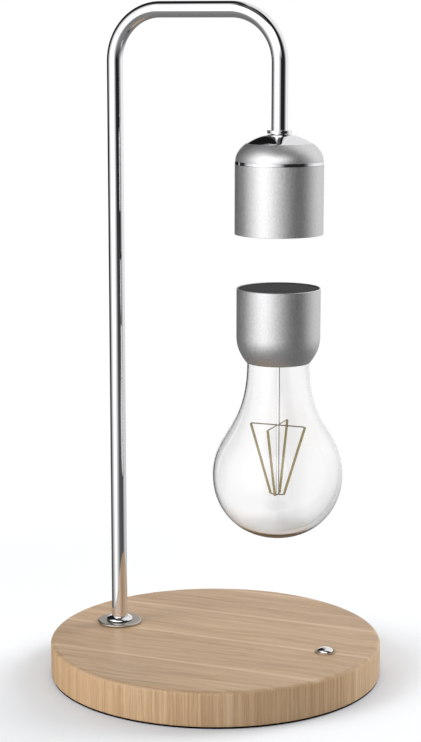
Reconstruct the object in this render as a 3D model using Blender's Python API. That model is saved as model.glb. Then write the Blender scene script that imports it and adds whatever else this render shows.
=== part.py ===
"""A table lamp whose light bulb floats below the magnetic head of a bent chrome arm.

Metres, +Z up. The origin lies on the table, under the centre of the round wooden base. The arm lies in
the plane Y = 0: its post stands on the -X side, and its drop, head, bulb and button lie on the +X side.
"""
import math

import bmesh
import bpy
from mathutils import Matrix
from mathutils import Vector
from mathutils.geometry import interpolate_bezier

# Driving dimensions: the clearances and the counts of sides that the round pieces share
seat_gap = 0.0003
cut_overrun = 0.0010
wide_sides = 56
shell_sides = 32
inner_sides = 24
small_sides = 16
screw_sides = 10
corner_steps = 3
weld_share = 0.01
sharp_angle = math.radians(35)
nut_angles = range(0, 360, 60)

# Driving dimensions: the base, and where the post, the button and the arm stand on it
base_diameter = 0.2000
base_height = 0.0219
pad_thickness = 0.0008
post_inset = 0.0342
button_inset = 0.0280
arm_reach = 0.1061
tube_diameter = 0.0096
tube_wall = 0.0012
bend_radius = 0.0300
drop_length = 0.0680

# Driving dimensions: the floating bulb and the head above it, from the bottom up
bulb_clearance = 0.0677
glass_drop = 0.1049
globe_radius = 0.0384
cup_radius = 0.0245
cup_height = 0.0437
levitation_gap = 0.0314
head_radius = 0.0257
sleeve_height = 0.0401
trim_height = 0.0014
dome_height = 0.0153
collar_height = 0.0020

# Axes and levels that follow from them
base_radius = base_diameter / 2
tube_radius = tube_diameter / 2
post_x = post_inset - base_radius
button_x = base_radius - button_inset
drop_x = post_x + arm_reach
wood_bottom = pad_thickness + seat_gap
wood_top = base_height
glass_bottom = wood_top + bulb_clearance
cup_bottom = glass_bottom + glass_drop
cup_rim = cup_bottom + cup_height
head_bottom = cup_rim + levitation_gap
sleeve_top = head_bottom + sleeve_height
trim_bottom = sleeve_top + seat_gap
dome_edge = trim_bottom + trim_height + seat_gap
dome_top = dome_edge + dome_height
collar_bottom = dome_top + seat_gap
collar_top = collar_bottom + collar_height
run_level = collar_top + drop_length


def linear(channel):
    """One sRGB channel, from 0 to 1, as linear light."""
    if channel <= 0.04045:
        return channel / 12.92
    return ((channel + 0.055) / 1.055) ** 2.4


def finish(name, colour, roughness, metallic=0.0, alpha=1.0):
    """A Principled material whose colour is written as six sRGB hex digits."""
    material = bpy.data.materials.new(name)
    material.use_nodes = True
    shader = material.node_tree.nodes["Principled BSDF"]
    red, green, blue = (linear(int(colour[i:i + 2], 16) / 255) for i in (0, 2, 4))
    shader.inputs["Base Color"].default_value = (red, green, blue, 1)
    shader.inputs["Roughness"].default_value = roughness
    shader.inputs["Metallic"].default_value = metallic
    shader.inputs["Alpha"].default_value = alpha
    material.diffuse_color = (red, green, blue, alpha)
    return material


def placed(name, form, material, x=0.0, y=0.0):
    """The object made of a bmesh, with outward faces and its origin at (x, y) on the floor plane."""
    bmesh.ops.recalc_face_normals(form, faces=form.faces)
    mesh = bpy.data.meshes.new(name)
    form.to_mesh(mesh)
    form.free()
    mesh.shade_smooth()
    mesh.set_sharp_from_angle(angle=sharp_angle)
    mesh.materials.append(material)
    piece = bpy.data.objects.new(name, mesh)
    piece.location = (x, y, 0)
    bpy.context.scene.collection.objects.link(piece)
    return piece


def turned(name, outline, material, x=0.0, y=0.0, sides=small_sides):
    """A closed solid turned about a vertical axis through (x, y), from (radius, height) points."""
    form = bmesh.new()
    chain = [form.verts.new((radius, 0, height)) for radius, height in outline]
    edges = [form.edges.new(pair) for pair in zip(chain, chain[1:])]
    if outline[0][0] > 0 or outline[-1][0] > 0:
        edges.append(form.edges.new((chain[-1], chain[0])))
    bmesh.ops.spin(form, geom=chain + edges, cent=(0, 0, 0), axis=(0, 0, 1), angle=math.tau, steps=sides)
    bmesh.ops.remove_doubles(form, verts=form.verts, dist=seat_gap * weld_share)
    return placed(name, form, material, x, y)


def disc(name, radius, low, high, material, x=0.0, y=0.0, sides=small_sides):
    """A plain round plate or rod between two levels."""
    outline = [(0, high), (radius, high), (radius, low), (0, low)]
    return turned(name, outline, material, x, y, sides)


def ring(name, inner, outer, low, high, material, x=0.0, y=0.0, sides=small_sides):
    """A plain round ring between two levels."""
    outline = [(inner, high), (outer, high), (outer, low), (inner, low)]
    return turned(name, outline, material, x, y, sides)


def prism(name, outline, low, high, material, x=0.0, y=0.0):
    """A flat outline of (x, y) points raised from one level to another."""
    form = bmesh.new()
    face = form.faces.new([form.verts.new((along, across, low)) for along, across in outline])
    raised = bmesh.ops.extrude_face_region(form, geom=[face])["geom"]
    lifted = [part for part in raised if isinstance(part, bmesh.types.BMVert)]
    bmesh.ops.translate(form, verts=lifted, vec=(0, 0, high - low))
    return placed(name, form, material, x, y)


def rectangle(length, width, x=0.0, y=0.0):
    """The corners of a rectangle that is length along X and width along Y, about (x, y)."""
    return [(x + length / 2 * a, y + width / 2 * b) for a, b in ((-1, -1), (1, -1), (1, 1), (-1, 1))]


def on_circle(radius, degrees, x=0.0):
    """The (x, y) places at some angles on a circle about (x, 0)."""
    turns = [math.radians(angle) for angle in degrees]
    return [(x + radius * math.cos(turn), radius * math.sin(turn)) for turn in turns]


def rounded(corner, before, after, radius):
    """The points of the arc that rounds off a corner of an outline, from before to after."""
    corner = Vector(corner)
    first = (Vector(before) - corner).normalized()
    second = (Vector(after) - corner).normalized()
    half = first.angle(second) / 2
    centre = corner + (first + second).normalized() * radius / math.sin(half)
    start = corner + first * radius / math.tan(half) - centre
    swing = start.angle_signed(corner + second * radius / math.tan(half) - centre)
    turns = [Matrix.Rotation(-swing * step / corner_steps, 2) for step in range(corner_steps + 1)]
    return [tuple(centre + turn @ start) for turn in turns]


def bezier(start, start_handle, end_handle, end, points):
    """Points on a curve between two (radius, height) points, whose handles are offsets from its ends."""
    first = Vector((*start, 0))
    last = Vector((*end, 0))
    leaving = first + Vector((*start_handle, 0))
    arriving = last + Vector((*end_handle, 0))
    return [tuple(point[:2]) for point in interpolate_bezier(first, leaving, arriving, last, points)]


def wire(name, route, radius, material, fine=2):
    """A round wire along a route of points."""
    curve = bpy.data.curves.new(name, "CURVE")
    curve.dimensions = "3D"
    curve.bevel_depth = radius
    curve.bevel_resolution = fine
    curve.use_fill_caps = True
    spline = curve.splines.new("POLY")
    spline.points.add(len(route) - 1)
    for point, place in zip(spline.points, route):
        point.co = (*place, 1)
    curve.materials.append(material)
    piece = bpy.data.objects.new(name, curve)
    bpy.context.scene.collection.objects.link(piece)
    return piece


def smooth_route(start, start_handle, end_handle, end, points):
    """Points in space on a curve between two places, whose handles are offsets from its ends."""
    first = Vector(start)
    last = Vector(end)
    curve = interpolate_bezier(first, first + Vector(start_handle), last + Vector(end_handle), last, points)
    return [tuple(point) for point in curve]


def arm_form(name, radius, bore, foot, tip, material, sides, lead=0.0, lead_bend=0.0):
    """A round bar or tube along the arm: up the post, over the run and down the drop to its tip.

    With a lead, it starts that far out on the +X side and reaches the post through a quarter bend.
    """
    form = bmesh.new()
    rim = bmesh.ops.create_circle(form, cap_ends=not bore, segments=sides, radius=radius)["verts"]
    if bore:
        hole = bmesh.ops.create_circle(form, segments=sides, radius=bore)["verts"]
        loops = {edge for vert in rim + hole for edge in vert.link_edges}
        bmesh.ops.bridge_loops(form, edges=list(loops))
    bmesh.ops.translate(form, verts=form.verts, vec=(post_x, 0, foot))
    faces = form.faces[:]
    if lead:
        centre = (post_x + lead_bend, 0, foot)
        bmesh.ops.rotate(form, verts=form.verts, cent=centre, matrix=Matrix.Rotation(-math.pi / 2, 3, "Y"))
        bmesh.ops.translate(form, verts=form.verts, vec=(lead - lead_bend, 0, 0))
        faces = extruded(form, faces, (lead_bend - lead, 0, 0))
        faces = bent(form, faces, centre, math.pi / 2)
    bend_level = run_level - bend_radius
    faces = extruded(form, faces, (0, 0, bend_level - foot))
    faces = bent(form, faces, (post_x + bend_radius, 0, bend_level), math.pi / 2)
    faces = extruded(form, faces, (arm_reach - 2 * bend_radius, 0, 0))
    faces = bent(form, faces, (drop_x - bend_radius, 0, bend_level), math.pi / 2)
    extruded(form, faces, (0, 0, tip - bend_level))
    return placed(name, form, material)


def moved_on(form, faces, made):
    """Removes the old end faces where a bar has grown past them, and returns its new end faces."""
    if any(len(edge.link_faces) > 2 for face in faces for edge in face.edges):
        bmesh.ops.delete(form, geom=faces, context="FACES_ONLY")
    return [part for part in made if isinstance(part, bmesh.types.BMFace)]


def extruded(form, faces, step):
    """Extrudes the end faces of a bar by a straight step, and returns its new end faces."""
    made = bmesh.ops.extrude_face_region(form, geom=faces)["geom"]
    bmesh.ops.translate(form, verts=[part for part in made if isinstance(part, bmesh.types.BMVert)], vec=step)
    return moved_on(form, faces, made)


def bent(form, faces, centre, angle):
    """Spins the end faces of a bar round a bend in the arm's plane, and returns its new end faces."""
    made = bmesh.ops.spin(form, geom=faces, cent=centre, axis=(0, 1, 0), angle=angle, steps=bend_steps)
    return moved_on(form, faces, made["geom_last"])


def cut(piece, *cutters):
    """Cuts each cutter out of a piece, and leaves the cutters as hidden guides."""
    for cutter in cutters:
        cutter.hide_render = True
        cutter.display_type = "WIRE"
        trim = piece.modifiers.new(cutter.name, "BOOLEAN")
        trim.operation = "DIFFERENCE"
        trim.solver = "EXACT"
        trim.object = cutter


def countersunk(name, head, shank, low, high, material, x, y, room=0.0):
    """A flat-headed screw that points up, or the hole for it, which is larger all round by room."""
    outline = [(0, high + room), (shank + room, high + room)]
    outline += [(shank + room, low + head - shank), (head + room, low)]
    if room:
        outline.append((head + room, low - cut_overrun))
        outline.append((0, low - cut_overrun))
    else:
        outline.append((0, low))
    return turned(name, outline, material, x, y, screw_sides)


def hex_nut(name, bore, radius, low, high, material, x):
    """A six-sided nut with a plain round bore."""
    nut = prism(name, on_circle(radius, nut_angles), low, high, material, x)
    cut(nut, disc(name + "_bore", bore, low - cut_overrun, high + cut_overrun, material, x))


for leftover in list(bpy.data.objects):
    bpy.data.objects.remove(leftover, do_unlink=True)

oak = finish("oiled_oak", "C9AD8B", 0.45)
foam = finish("black_foam", "1B1A19", 0.90)
chrome = finish("polished_chrome", "E4E4E6", 0.06, 1.0)
satin = finish("satin_nickel", "B4B4B5", 0.32, 1.0)
steel = finish("zinc_steel", "A9ABAE", 0.35, 1.0)
iron = finish("dark_iron", "4A4B4D", 0.50, 1.0)
copper = finish("enamelled_copper", "B4663A", 0.30, 1.0)
brass = finish("turned_brass", "C8A45A", 0.30, 1.0)
board = finish("circuit_board", "1F5A3C", 0.50)
black = finish("black_plastic", "202021", 0.55)
lid_black = finish("lid_plastic", "3A3A3B", 0.50)
cream = finish("cream_plastic", "D8D3C6", 0.50)
cable_grey = finish("cable_jacket", "55565A", 0.60)
clear = finish("clear_glass", "F4F6F6", 0.02, 0.0, 0.25)
gold = finish("filament_phosphor", "C9A24A", 0.45)
magnet_grey = finish("plated_magnet", "8E9094", 0.20, 1.0)

# Wooden base: an oak disc with a pocket below for the electronics and a step for the plate that shuts it
wood_wall = 0.0180
wood_ceiling = 0.0045
plate_lap = 0.0100
plate_thickness = 0.0020
top_rounding = 0.0018
pocket_radius = base_radius - wood_wall
plate_radius = pocket_radius + plate_lap
plate_top = wood_bottom + plate_thickness
step_level = plate_top + seat_gap
pocket_level = wood_top - wood_ceiling
top_edge = rounded((base_radius, wood_top), (0, wood_top), (base_radius, wood_bottom), top_rounding)
wood_outline = [(0, wood_top), *top_edge, (base_radius, wood_bottom), (plate_radius + seat_gap, wood_bottom)]
wood_outline += [(plate_radius + seat_gap, step_level), (pocket_radius, step_level)]
wood_outline += [(pocket_radius, pocket_level), (0, pocket_level)]
wooden_base = turned("wooden_base", wood_outline, oak, sides=wide_sides)

# Foam pad: the thin black sheet that the lamp stands on
pad_inset = 0.0005
disc("anti_slip_pad", base_radius - pad_inset, 0, pad_thickness, foam, sides=wide_sides)

# Base plate: a steel disc let into the wood, with flat-headed screws up into the wood round its edge
plate_screw_head = 0.0030
plate_screw_shank = 0.0015
plate_screw_length = 0.0110
plate_screw_angles = (60, 135, 270)
plate_screw_circle = pocket_radius + plate_lap / 2
plate_screw_tip = wood_bottom + plate_screw_length
plate_screw = (plate_screw_head, plate_screw_shank, wood_bottom, plate_screw_tip)
base_plate = disc("base_plate", plate_radius, wood_bottom, plate_top, steel, sides=wide_sides)
for number, (x, y) in enumerate(on_circle(plate_screw_circle, plate_screw_angles), 1):
    countersunk(f"plate_screw_{number}", *plate_screw, steel, x, y)
    hole = countersunk(f"plate_screw_hole_{number}", *plate_screw, steel, x, y, seat_gap)
    cut(base_plate, hole)
    cut(wooden_base, hole)

# Nut sizes of the post, which the ballast in the pocket keeps clear of
nut_height = 0.0030
nut_radius = 0.0085

# Control board: hung from the pocket's ceiling on two riveted standoffs, with its parts on the lower side
board_thickness = 0.0016
board_width = 0.0440
cable_run = 0.0308
switch_run = 0.0450
standoff_radius = 0.0030
standoff_length = 0.0047
standoff_inset = 0.0045
stud_radius = 0.0012
stud_bite = 0.0024
rivet_radius = 0.0024
rivet_height = 0.0010
board_left = post_x + cable_run
board_right = button_x - switch_run
board_length = board_right - board_left
board_x = (board_left + board_right) / 2
standoff_high = pocket_level - seat_gap
standoff_low = standoff_high - standoff_length
board_high = standoff_low - seat_gap
board_low = board_high - board_thickness
rivet_high = board_low - seat_gap
stud_hole = stud_radius + seat_gap
stud_tip = pocket_level + stud_bite
board_outline = rectangle(board_length, board_width, board_x)
control_board = prism("control_board", board_outline, board_low, board_high, board)
rivet_low = rivet_high - rivet_height
standoff_outline = [(0, stud_tip), (stud_radius, stud_tip), (stud_radius, standoff_high)]
standoff_outline += [(standoff_radius, standoff_high), (standoff_radius, standoff_low)]
standoff_outline += [(stud_radius, standoff_low), (stud_radius, rivet_high), (rivet_radius, rivet_high)]
standoff_outline += [(rivet_radius, rivet_low), (0, rivet_low)]
standoff_places = rectangle(board_length - 2 * standoff_inset, board_width - 2 * standoff_inset, board_x)
for number, (x, y) in enumerate((standoff_places[0], standoff_places[2]), 1):
    turned(f"board_standoff_{number}", standoff_outline, brass, x, y, screw_sides)
    hole_name = f"board_hole_{number}"
    hole = disc(hole_name, stud_hole, board_low - cut_overrun, stud_tip + seat_gap, brass, x, y, screw_sides)
    cut(control_board, hole)
    cut(wooden_base, hole)

# Parts soldered under the board: the header that both cables plug into, and a capacitor
header_depth = 0.0053
header_length = 0.0060
header_width = 0.0220
capacitor_radius = 0.0050
capacitor_height = 0.0048
parts_high = board_low - seat_gap
header_low = parts_high - header_depth
lead_level = parts_high - header_depth / 2
header_x = board_left + header_length / 2
prism("cable_header", rectangle(header_length, header_width, header_x), header_low, parts_high, cream)
disc("board_capacitor", capacitor_radius, parts_high - capacitor_height, parts_high, steel, board_x)

# Ballast: a thick steel disc on the plate, with a window for the board and grooves for the cables
ballast_thickness = 0.0070
ballast_margin = 0.0015
ballast_web = 0.0017
groove_width = 0.0260
ballast_radius = -post_x - nut_radius - ballast_margin
ballast_low = plate_top + seat_gap
ballast_high = ballast_low + ballast_thickness
window_length = board_length + 2 * ballast_margin
window_width = board_width + 2 * ballast_margin
ballast_weight = disc("ballast_weight", ballast_radius, ballast_low, ballast_high, iron, sides=wide_sides)
window_outline = rectangle(window_length, window_width, board_x)
groove_outline = rectangle(2 * ballast_radius + cut_overrun, groove_width)
groove_low = ballast_low + ballast_web
window = prism("ballast_window", window_outline, ballast_low - cut_overrun, ballast_high + cut_overrun, iron)
groove = prism("ballast_groove", groove_outline, groove_low, ballast_high + cut_overrun, iron)
cut(ballast_weight, window, groove)

# Power inlet: a barrel socket set back in the rim behind the post, with its centre pin and its lead
inlet_recess = 0.0052
inlet_length = 0.0110
inlet_width = 0.0094
inlet_mouth_radius = 0.0045
inlet_bore_radius = 0.0031
inlet_bore_depth = 0.0085
inlet_pin_radius = 0.0010
inlet_pin_setback = 0.0010
lead_radius = 0.0011
lead_side = 0.0085
lead_points = 14
inlet_level = (step_level + pocket_level) / 2
inlet_face = inlet_recess - base_radius
inlet_back = inlet_face + inlet_length
inlet_bore_end = inlet_face + inlet_bore_depth


def lying(name, radius, near, far, material):
    """A round bar along X at the inlet's level, made upright and then laid over."""
    piece = disc(name, radius, near, far, material, sides=screw_sides)
    piece.matrix_world = Matrix.Translation((0, 0, inlet_level)) @ Matrix.Rotation(math.pi / 2, 4, "Y")
    return piece


inlet_low = inlet_level - inlet_width / 2
inlet_high = inlet_level + inlet_width / 2
inlet_outline = rectangle(inlet_length, inlet_width, (inlet_face + inlet_back) / 2)
power_inlet = prism("power_inlet", inlet_outline, inlet_low, inlet_high, black)
cut(power_inlet, lying("inlet_bore", inlet_bore_radius, inlet_face - cut_overrun, inlet_bore_end, black))
lying("inlet_pin", inlet_pin_radius, inlet_face + inlet_pin_setback, inlet_bore_end - seat_gap, brass)
slot_near = inlet_face - seat_gap
slot_far = cut_overrun - pocket_radius
slot_outline = rectangle(slot_far - slot_near, inlet_width + 2 * seat_gap, (slot_near + slot_far) / 2)
inlet_slot = prism("inlet_slot", slot_outline, inlet_low - seat_gap, inlet_high + seat_gap, oak)
mouth_near = -base_radius - cut_overrun
inlet_mouth = lying("inlet_mouth", inlet_mouth_radius, mouth_near, slot_near + cut_overrun, oak)
cut(wooden_base, inlet_slot, inlet_mouth)
lead_end_x = board_left - seat_gap
lead_start = (inlet_back + seat_gap, inlet_width / 2 - lead_radius, lead_level)
lead_end = (lead_end_x, lead_side, lead_level)
lead_reach = (lead_end_x - lead_start[0]) / 3
lead_route = smooth_route(lead_start, (lead_reach / 2, 0, 0), (-lead_reach, 0, 0), lead_end, lead_points)
wire("inlet_lead", lead_route, lead_radius, black)

# Push button: a domed chrome cap that slides in a flanged sleeve and is kept in by the sleeve's lip
cap_radius = 0.0047
cap_rise = 0.0027
cap_edge_rise = 0.0008
cap_collar_width = 0.0004
cap_collar_height = 0.0010
cap_spring_room = 0.0016
cap_crown = 0.0024
cap_points = 5
button_travel = 0.0012
bezel_flange_width = 0.0005
bezel_flange_height = 0.0003
bezel_lip_depth = 0.0018
bezel_wall = 0.0003
bezel_length = 0.0126
bezel_inner = cap_radius + cap_collar_width + seat_gap
bezel_outer = bezel_inner + bezel_wall
bezel_flange = bezel_outer + bezel_flange_width
bezel_seat = wood_top + seat_gap
bezel_top = bezel_seat + bezel_flange_height
bezel_end = bezel_seat - bezel_length
lip_level = bezel_seat - bezel_lip_depth
lip_radius = cap_radius + seat_gap
bezel_outline = [(lip_radius, bezel_top), (bezel_flange - bezel_flange_height / 2, bezel_top)]
bezel_outline += [(bezel_flange, bezel_seat), (bezel_outer, bezel_seat), (bezel_outer, bezel_end)]
bezel_outline += [(bezel_inner, bezel_end), (bezel_inner, lip_level), (lip_radius, lip_level)]
turned("button_bezel", bezel_outline, chrome, button_x)
bezel_hole = bezel_outer + seat_gap
cut_low = pocket_level - cut_overrun
cut_high = wood_top + cut_overrun
cut(wooden_base, disc("button_hole", bezel_hole, cut_low, cut_high, oak, button_x))
cap_top = wood_top + cap_rise
cap_edge = wood_top + cap_edge_rise
cap_collar_high = lip_level - seat_gap
cap_end = cap_collar_high - cap_collar_height
spring_room = cap_radius - cap_spring_room
spring_ceiling = cap_top - cap_crown
cap_handle = (0, (cap_top - cap_edge) / 2)
cap_dome = bezier((cap_radius, cap_edge), cap_handle, (cap_radius / 2, 0), (0, cap_top), cap_points)
cap_collar = cap_radius + cap_collar_width
cap_outline = [*reversed(cap_dome), (cap_radius, cap_collar_high), (cap_collar, cap_collar_high)]
cap_outline += [(cap_collar, cap_end), (spring_room, cap_end)]
cap_outline += [(spring_room, spring_ceiling), (0, spring_ceiling)]
turned("button_cap", cap_outline, chrome, button_x)

# Switch: the housing plugged into the sleeve from below, with its post, return spring, nut and leads
switch_plug_height = 0.0030
switch_housing_height = 0.0046
switch_post_radius = 0.0010
switch_post_room = 0.0003
spring_wire = 0.00025
spring_turns = 4
spring_points = 10
switch_nut_radius = 0.0088
switch_nut_height = 0.0025
switch_shoulder = bezel_end - seat_gap
switch_top = switch_shoulder + switch_plug_height
switch_low = switch_shoulder - switch_housing_height
switch_post_top = spring_ceiling - button_travel - switch_post_room
switch_outline = [(0, switch_post_top), (switch_post_radius, switch_post_top)]
switch_outline += [(switch_post_radius, switch_top), (bezel_inner - seat_gap, switch_top)]
switch_outline += [(bezel_inner - seat_gap, switch_shoulder)]
switch_outline += [(bezel_outer, switch_shoulder), (bezel_outer, switch_low), (0, switch_low)]
turned("switch_body", switch_outline, black, button_x)
spring_radius = (spring_room + switch_post_radius) / 2
spring_low = switch_top + seat_gap + spring_wire
spring_high = spring_ceiling - seat_gap - spring_wire
spring_route = []
for step in range(spring_turns * spring_points + 1):
    turn = math.tau * step / spring_points
    level = spring_low + (spring_high - spring_low) * step / (spring_turns * spring_points)
    spring_route.append((button_x + spring_radius * math.cos(turn), spring_radius * math.sin(turn), level))
wire("button_spring", spring_route, spring_wire, steel, fine=1)
switch_nut_high = pocket_level - seat_gap
switch_nut_low = switch_nut_high - switch_nut_height
hex_nut("switch_nut", bezel_hole, switch_nut_radius, switch_nut_low, switch_nut_high, steel, button_x)
switch_lead_start = (button_x - bezel_outer - seat_gap, 0, lead_level)
switch_lead_end = (board_right + seat_gap, 0, (board_low + board_high) / 2)
switch_reach = (switch_lead_start[0] - switch_lead_end[0]) / 2
switch_ends = (switch_lead_start, (-switch_reach, 0, 0), (switch_reach, 0, 0), switch_lead_end)
switch_route = smooth_route(*switch_ends, lead_points)
wire("switch_lead", switch_route, lead_radius, black)

# Arm: one chrome tube, bent twice, whose ends pass through the base and through the head
bend_steps = 8
foot_length = 0.0096
tip_length = 0.0110
dome_wall = 0.0013
tube_bore = tube_radius - tube_wall
tube_hole = tube_radius + seat_gap
tube_foot = wood_top - foot_length
tube_tip = dome_top - tip_length
arm_form("arm_tube", tube_radius, tube_bore, tube_foot, tube_tip, chrome, small_sides)
cut(wooden_base, disc("post_hole", tube_hole, cut_low, cut_high, oak, post_x))

# Foot of the post: a flat rosette on the wood and a rounded bead, with a washer and a nut in the pocket
rosette_radius = 0.0135
rosette_height = 0.0013
rosette_edge = 0.0006
bead_radius = 0.0080
bead_height = 0.0022
bead_points = 6
washer_height = 0.0010
washer_radius = 0.0095
rosette_low = wood_top + seat_gap
rosette_high = rosette_low + rosette_height
rosette_outline = [(tube_hole, rosette_high), (rosette_radius - rosette_edge, rosette_high)]
rosette_outline += [(rosette_radius, rosette_high - rosette_edge), (rosette_radius, rosette_low)]
rosette_outline += [(tube_hole, rosette_low)]
turned("post_rosette", rosette_outline, chrome, post_x, sides=shell_sides)
bead_low = rosette_high + seat_gap
bead_high = bead_low + bead_height
bead_rim = (bead_radius, bead_low)
bead_slope = bezier((tube_hole, bead_high), (bead_height / 2, 0), (0, bead_height / 2), bead_rim, bead_points)
turned("post_bead", [*bead_slope, (tube_hole, bead_low)], chrome, post_x, sides=shell_sides)
washer_high = pocket_level - seat_gap
washer_low = washer_high - washer_height
ring("post_washer", tube_hole, washer_radius, washer_low, washer_high, steel, post_x)
post_nut_high = washer_low - seat_gap
hex_nut("post_nut", tube_hole, nut_radius, post_nut_high - nut_height, post_nut_high, steel, post_x)

# Top of the head: a turned dome on the end of the tube, between a collar above and a lock nut below
collar_radius = 0.0072
collar_edge = 0.0004
dome_ring_width = 0.0056
dome_skirt = 0.0052
dome_ring_height = 0.0058
dome_flat_radius = 0.0090
dome_slope = 0.0002
dome_edge_inset = 0.0003
dome_low_handle_shares = (0.0, 0.54)
dome_high_handle_shares = (0.245, -0.045)
head_wall = 0.0012
dome_points = 8
collar_outline = [(tube_hole, collar_top), (collar_radius - collar_edge, collar_top)]
collar_outline += [(collar_radius, collar_top - collar_edge), (collar_radius, collar_bottom)]
collar_outline += [(tube_hole, collar_bottom)]
turned("head_collar", collar_outline, chrome, drop_x)
low_handle = (head_radius * dome_low_handle_shares[0], dome_height * dome_low_handle_shares[1])
high_handle = (head_radius * dome_high_handle_shares[0], dome_height * dome_high_handle_shares[1])
dome_rim = (head_radius - dome_edge_inset, dome_edge)
dome_crown = (collar_radius, dome_top - dome_slope)
dome_curve = bezier(dome_rim, low_handle, high_handle, dome_crown, dome_points)
inner_rim = (dome_rim[0] - head_wall - dome_wall, dome_edge + dome_ring_height - dome_skirt)
inner_crown = (dome_flat_radius, dome_top - dome_slope - dome_wall)
inner_curve = bezier(inner_rim, low_handle, high_handle, inner_crown, dome_points)
skirt_radius = head_radius - head_wall - seat_gap
skirt_low = dome_edge - dome_skirt
ring_inner = skirt_radius - dome_ring_width
ring_high = skirt_low + dome_ring_height
inside = [point for point in inner_curve if point[0] < ring_inner]
dome_outline = [(tube_hole, dome_top), *reversed(dome_curve), (skirt_radius, dome_edge)]
dome_outline += [(skirt_radius, skirt_low), (ring_inner, skirt_low), (ring_inner, ring_high), *inside]
dome_outline.append((tube_hole, inner_crown[1]))
head_dome = turned("head_dome", dome_outline, satin, drop_x, sides=shell_sides)
lock_nut_high = inner_crown[1] - seat_gap
hex_nut("head_lock_nut", tube_hole, nut_radius, lock_nut_high - nut_height, lock_nut_high, steel, drop_x)

# Trim ring and sleeve: the polished ring at the seam, and the satin tube that hangs below it
trim_proud = 0.0002
trim_outer = head_radius + trim_proud
trim_mid = trim_height / 2
trim_inner = skirt_radius + seat_gap
trim_top = trim_bottom + trim_height
trim_outline = [(trim_inner, trim_top), (head_radius, trim_top), (trim_outer, trim_bottom + trim_mid)]
trim_outline += [(head_radius, trim_bottom), (trim_inner, trim_bottom)]
turned("head_trim_ring", trim_outline, chrome, drop_x, sides=shell_sides)
sleeve_inner = head_radius - head_wall
ring("head_sleeve", sleeve_inner, head_radius, head_bottom, sleeve_top, satin, drop_x, sides=shell_sides)

# Face plate: the black disc that shuts the head below, with long screws up into the dome's thick ring
face_recess = 0.0006
face_thickness = 0.0020
head_screw_head = 0.0022
head_screw_shank = 0.0011
head_screw_inset = 0.0032
head_screw_bite = 0.0040
head_screw_angles = (90, 210, 330)
carrier_thickness = 0.0020
face_low = head_bottom + face_recess
face_high = face_low + face_thickness
carrier_high = skirt_low - seat_gap
carrier_low = carrier_high - carrier_thickness
head_screw_circle = skirt_radius - head_screw_inset
head_screw = (head_screw_head, head_screw_shank, face_low, skirt_low + head_screw_bite)
face_plate = disc("head_face_plate", skirt_radius, face_low, face_high, black, drop_x, sides=inner_sides)
coil_carrier = disc("coil_carrier", skirt_radius, carrier_low, carrier_high, steel, drop_x, sides=inner_sides)
for number, (x, y) in enumerate(on_circle(head_screw_circle, head_screw_angles, drop_x), 1):
    countersunk(f"head_screw_{number}", *head_screw, steel, x, y)
    hole = countersunk(f"head_screw_hole_{number}", *head_screw, steel, x, y, seat_gap)
    cut(face_plate, hole)
    cut(coil_carrier, hole)
    cut(head_dome, hole)

# Sensing and power transfer: a flat ring coil and a small board with its field sensor on the face plate
transmitter_width = 0.0060
transmitter_height = 0.0014
sensor_board_height = 0.0012
sensor_length = 0.0040
sensor_width = 0.0030
sensor_height = 0.0015
winding_limit = head_screw_circle - head_screw_shank - 2 * seat_gap
transmitter_inner = winding_limit - transmitter_width
face_seat = face_high + seat_gap
transmitter_high = face_seat + transmitter_height
sensor_board_high = face_seat + sensor_board_height
sensor_low = sensor_board_high + seat_gap
sensor_high = sensor_low + sensor_height
transmitter = (transmitter_inner, winding_limit, face_seat, transmitter_high)
ring("transmitter_coil", *transmitter, copper, drop_x, sides=inner_sides)
disc("sensor_board", transmitter_inner - seat_gap, face_seat, sensor_board_high, board, drop_x)
prism("field_sensor", rectangle(sensor_length, sensor_width), sensor_low, sensor_high, black, drop_x)

# Electromagnet: a spool of copper wire round a steel core, hung from the carrier plate
core_radius = 0.0066
spool_wall = 0.0012
spool_flange = 0.0015
spool_hub = core_radius + seat_gap
spool_tube = spool_hub + spool_wall
spool_low = transmitter_high + seat_gap
spool_high = carrier_low - seat_gap
flange_high = spool_high - spool_flange
flange_low = spool_low + spool_flange
spool_outline = [(spool_hub, spool_high), (winding_limit, spool_high), (winding_limit, flange_high)]
spool_outline += [(spool_tube, flange_high), (spool_tube, flange_low), (winding_limit, flange_low)]
spool_outline += [(winding_limit, spool_low), (spool_hub, spool_low)]
turned("coil_spool", spool_outline, cream, drop_x, sides=inner_sides)
winding_low = flange_low + seat_gap
winding_high = flange_high - seat_gap
winding = (spool_tube + seat_gap, winding_limit - seat_gap, winding_low, winding_high)
ring("electromagnet_coil", *winding, copper, drop_x, sides=inner_sides)
disc("magnet_core", core_radius, max(spool_low, sensor_high) + seat_gap, spool_high, iron, drop_x)

# Driver board: on a spacer ring above the carrier plate, inside the dome, where the arm's cable ends
driver_spacer_height = 0.0019
driver_spacer_width = 0.0020
driver_margin = 0.0008
driver_radius = ring_inner - driver_margin
driver_spacer_low = carrier_high + seat_gap
driver_spacer_high = driver_spacer_low + driver_spacer_height
driver_low = driver_spacer_high + seat_gap
driver_high = driver_low + board_thickness
spacer = (driver_radius - driver_spacer_width, driver_radius, driver_spacer_low, driver_spacer_high)
ring("driver_spacer", *spacer, cream, drop_x, sides=inner_sides)
disc("driver_board", driver_radius, driver_low, driver_high, board, drop_x, sides=inner_sides)

# Arm cable: from the header on the control board, up through the tube and down to the driver board
cable_radius = 0.0016
cable_sides = 8
cable_bend = 0.0048
cable_lead = lead_end_x - post_x
cable_foot = lead_level + cable_bend
cable_tip = driver_high + seat_gap
cable_ends = (cable_foot, cable_tip)
arm_form("arm_cable", cable_radius, 0.0, *cable_ends, cable_grey, cable_sides, cable_lead, cable_bend)

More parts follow.
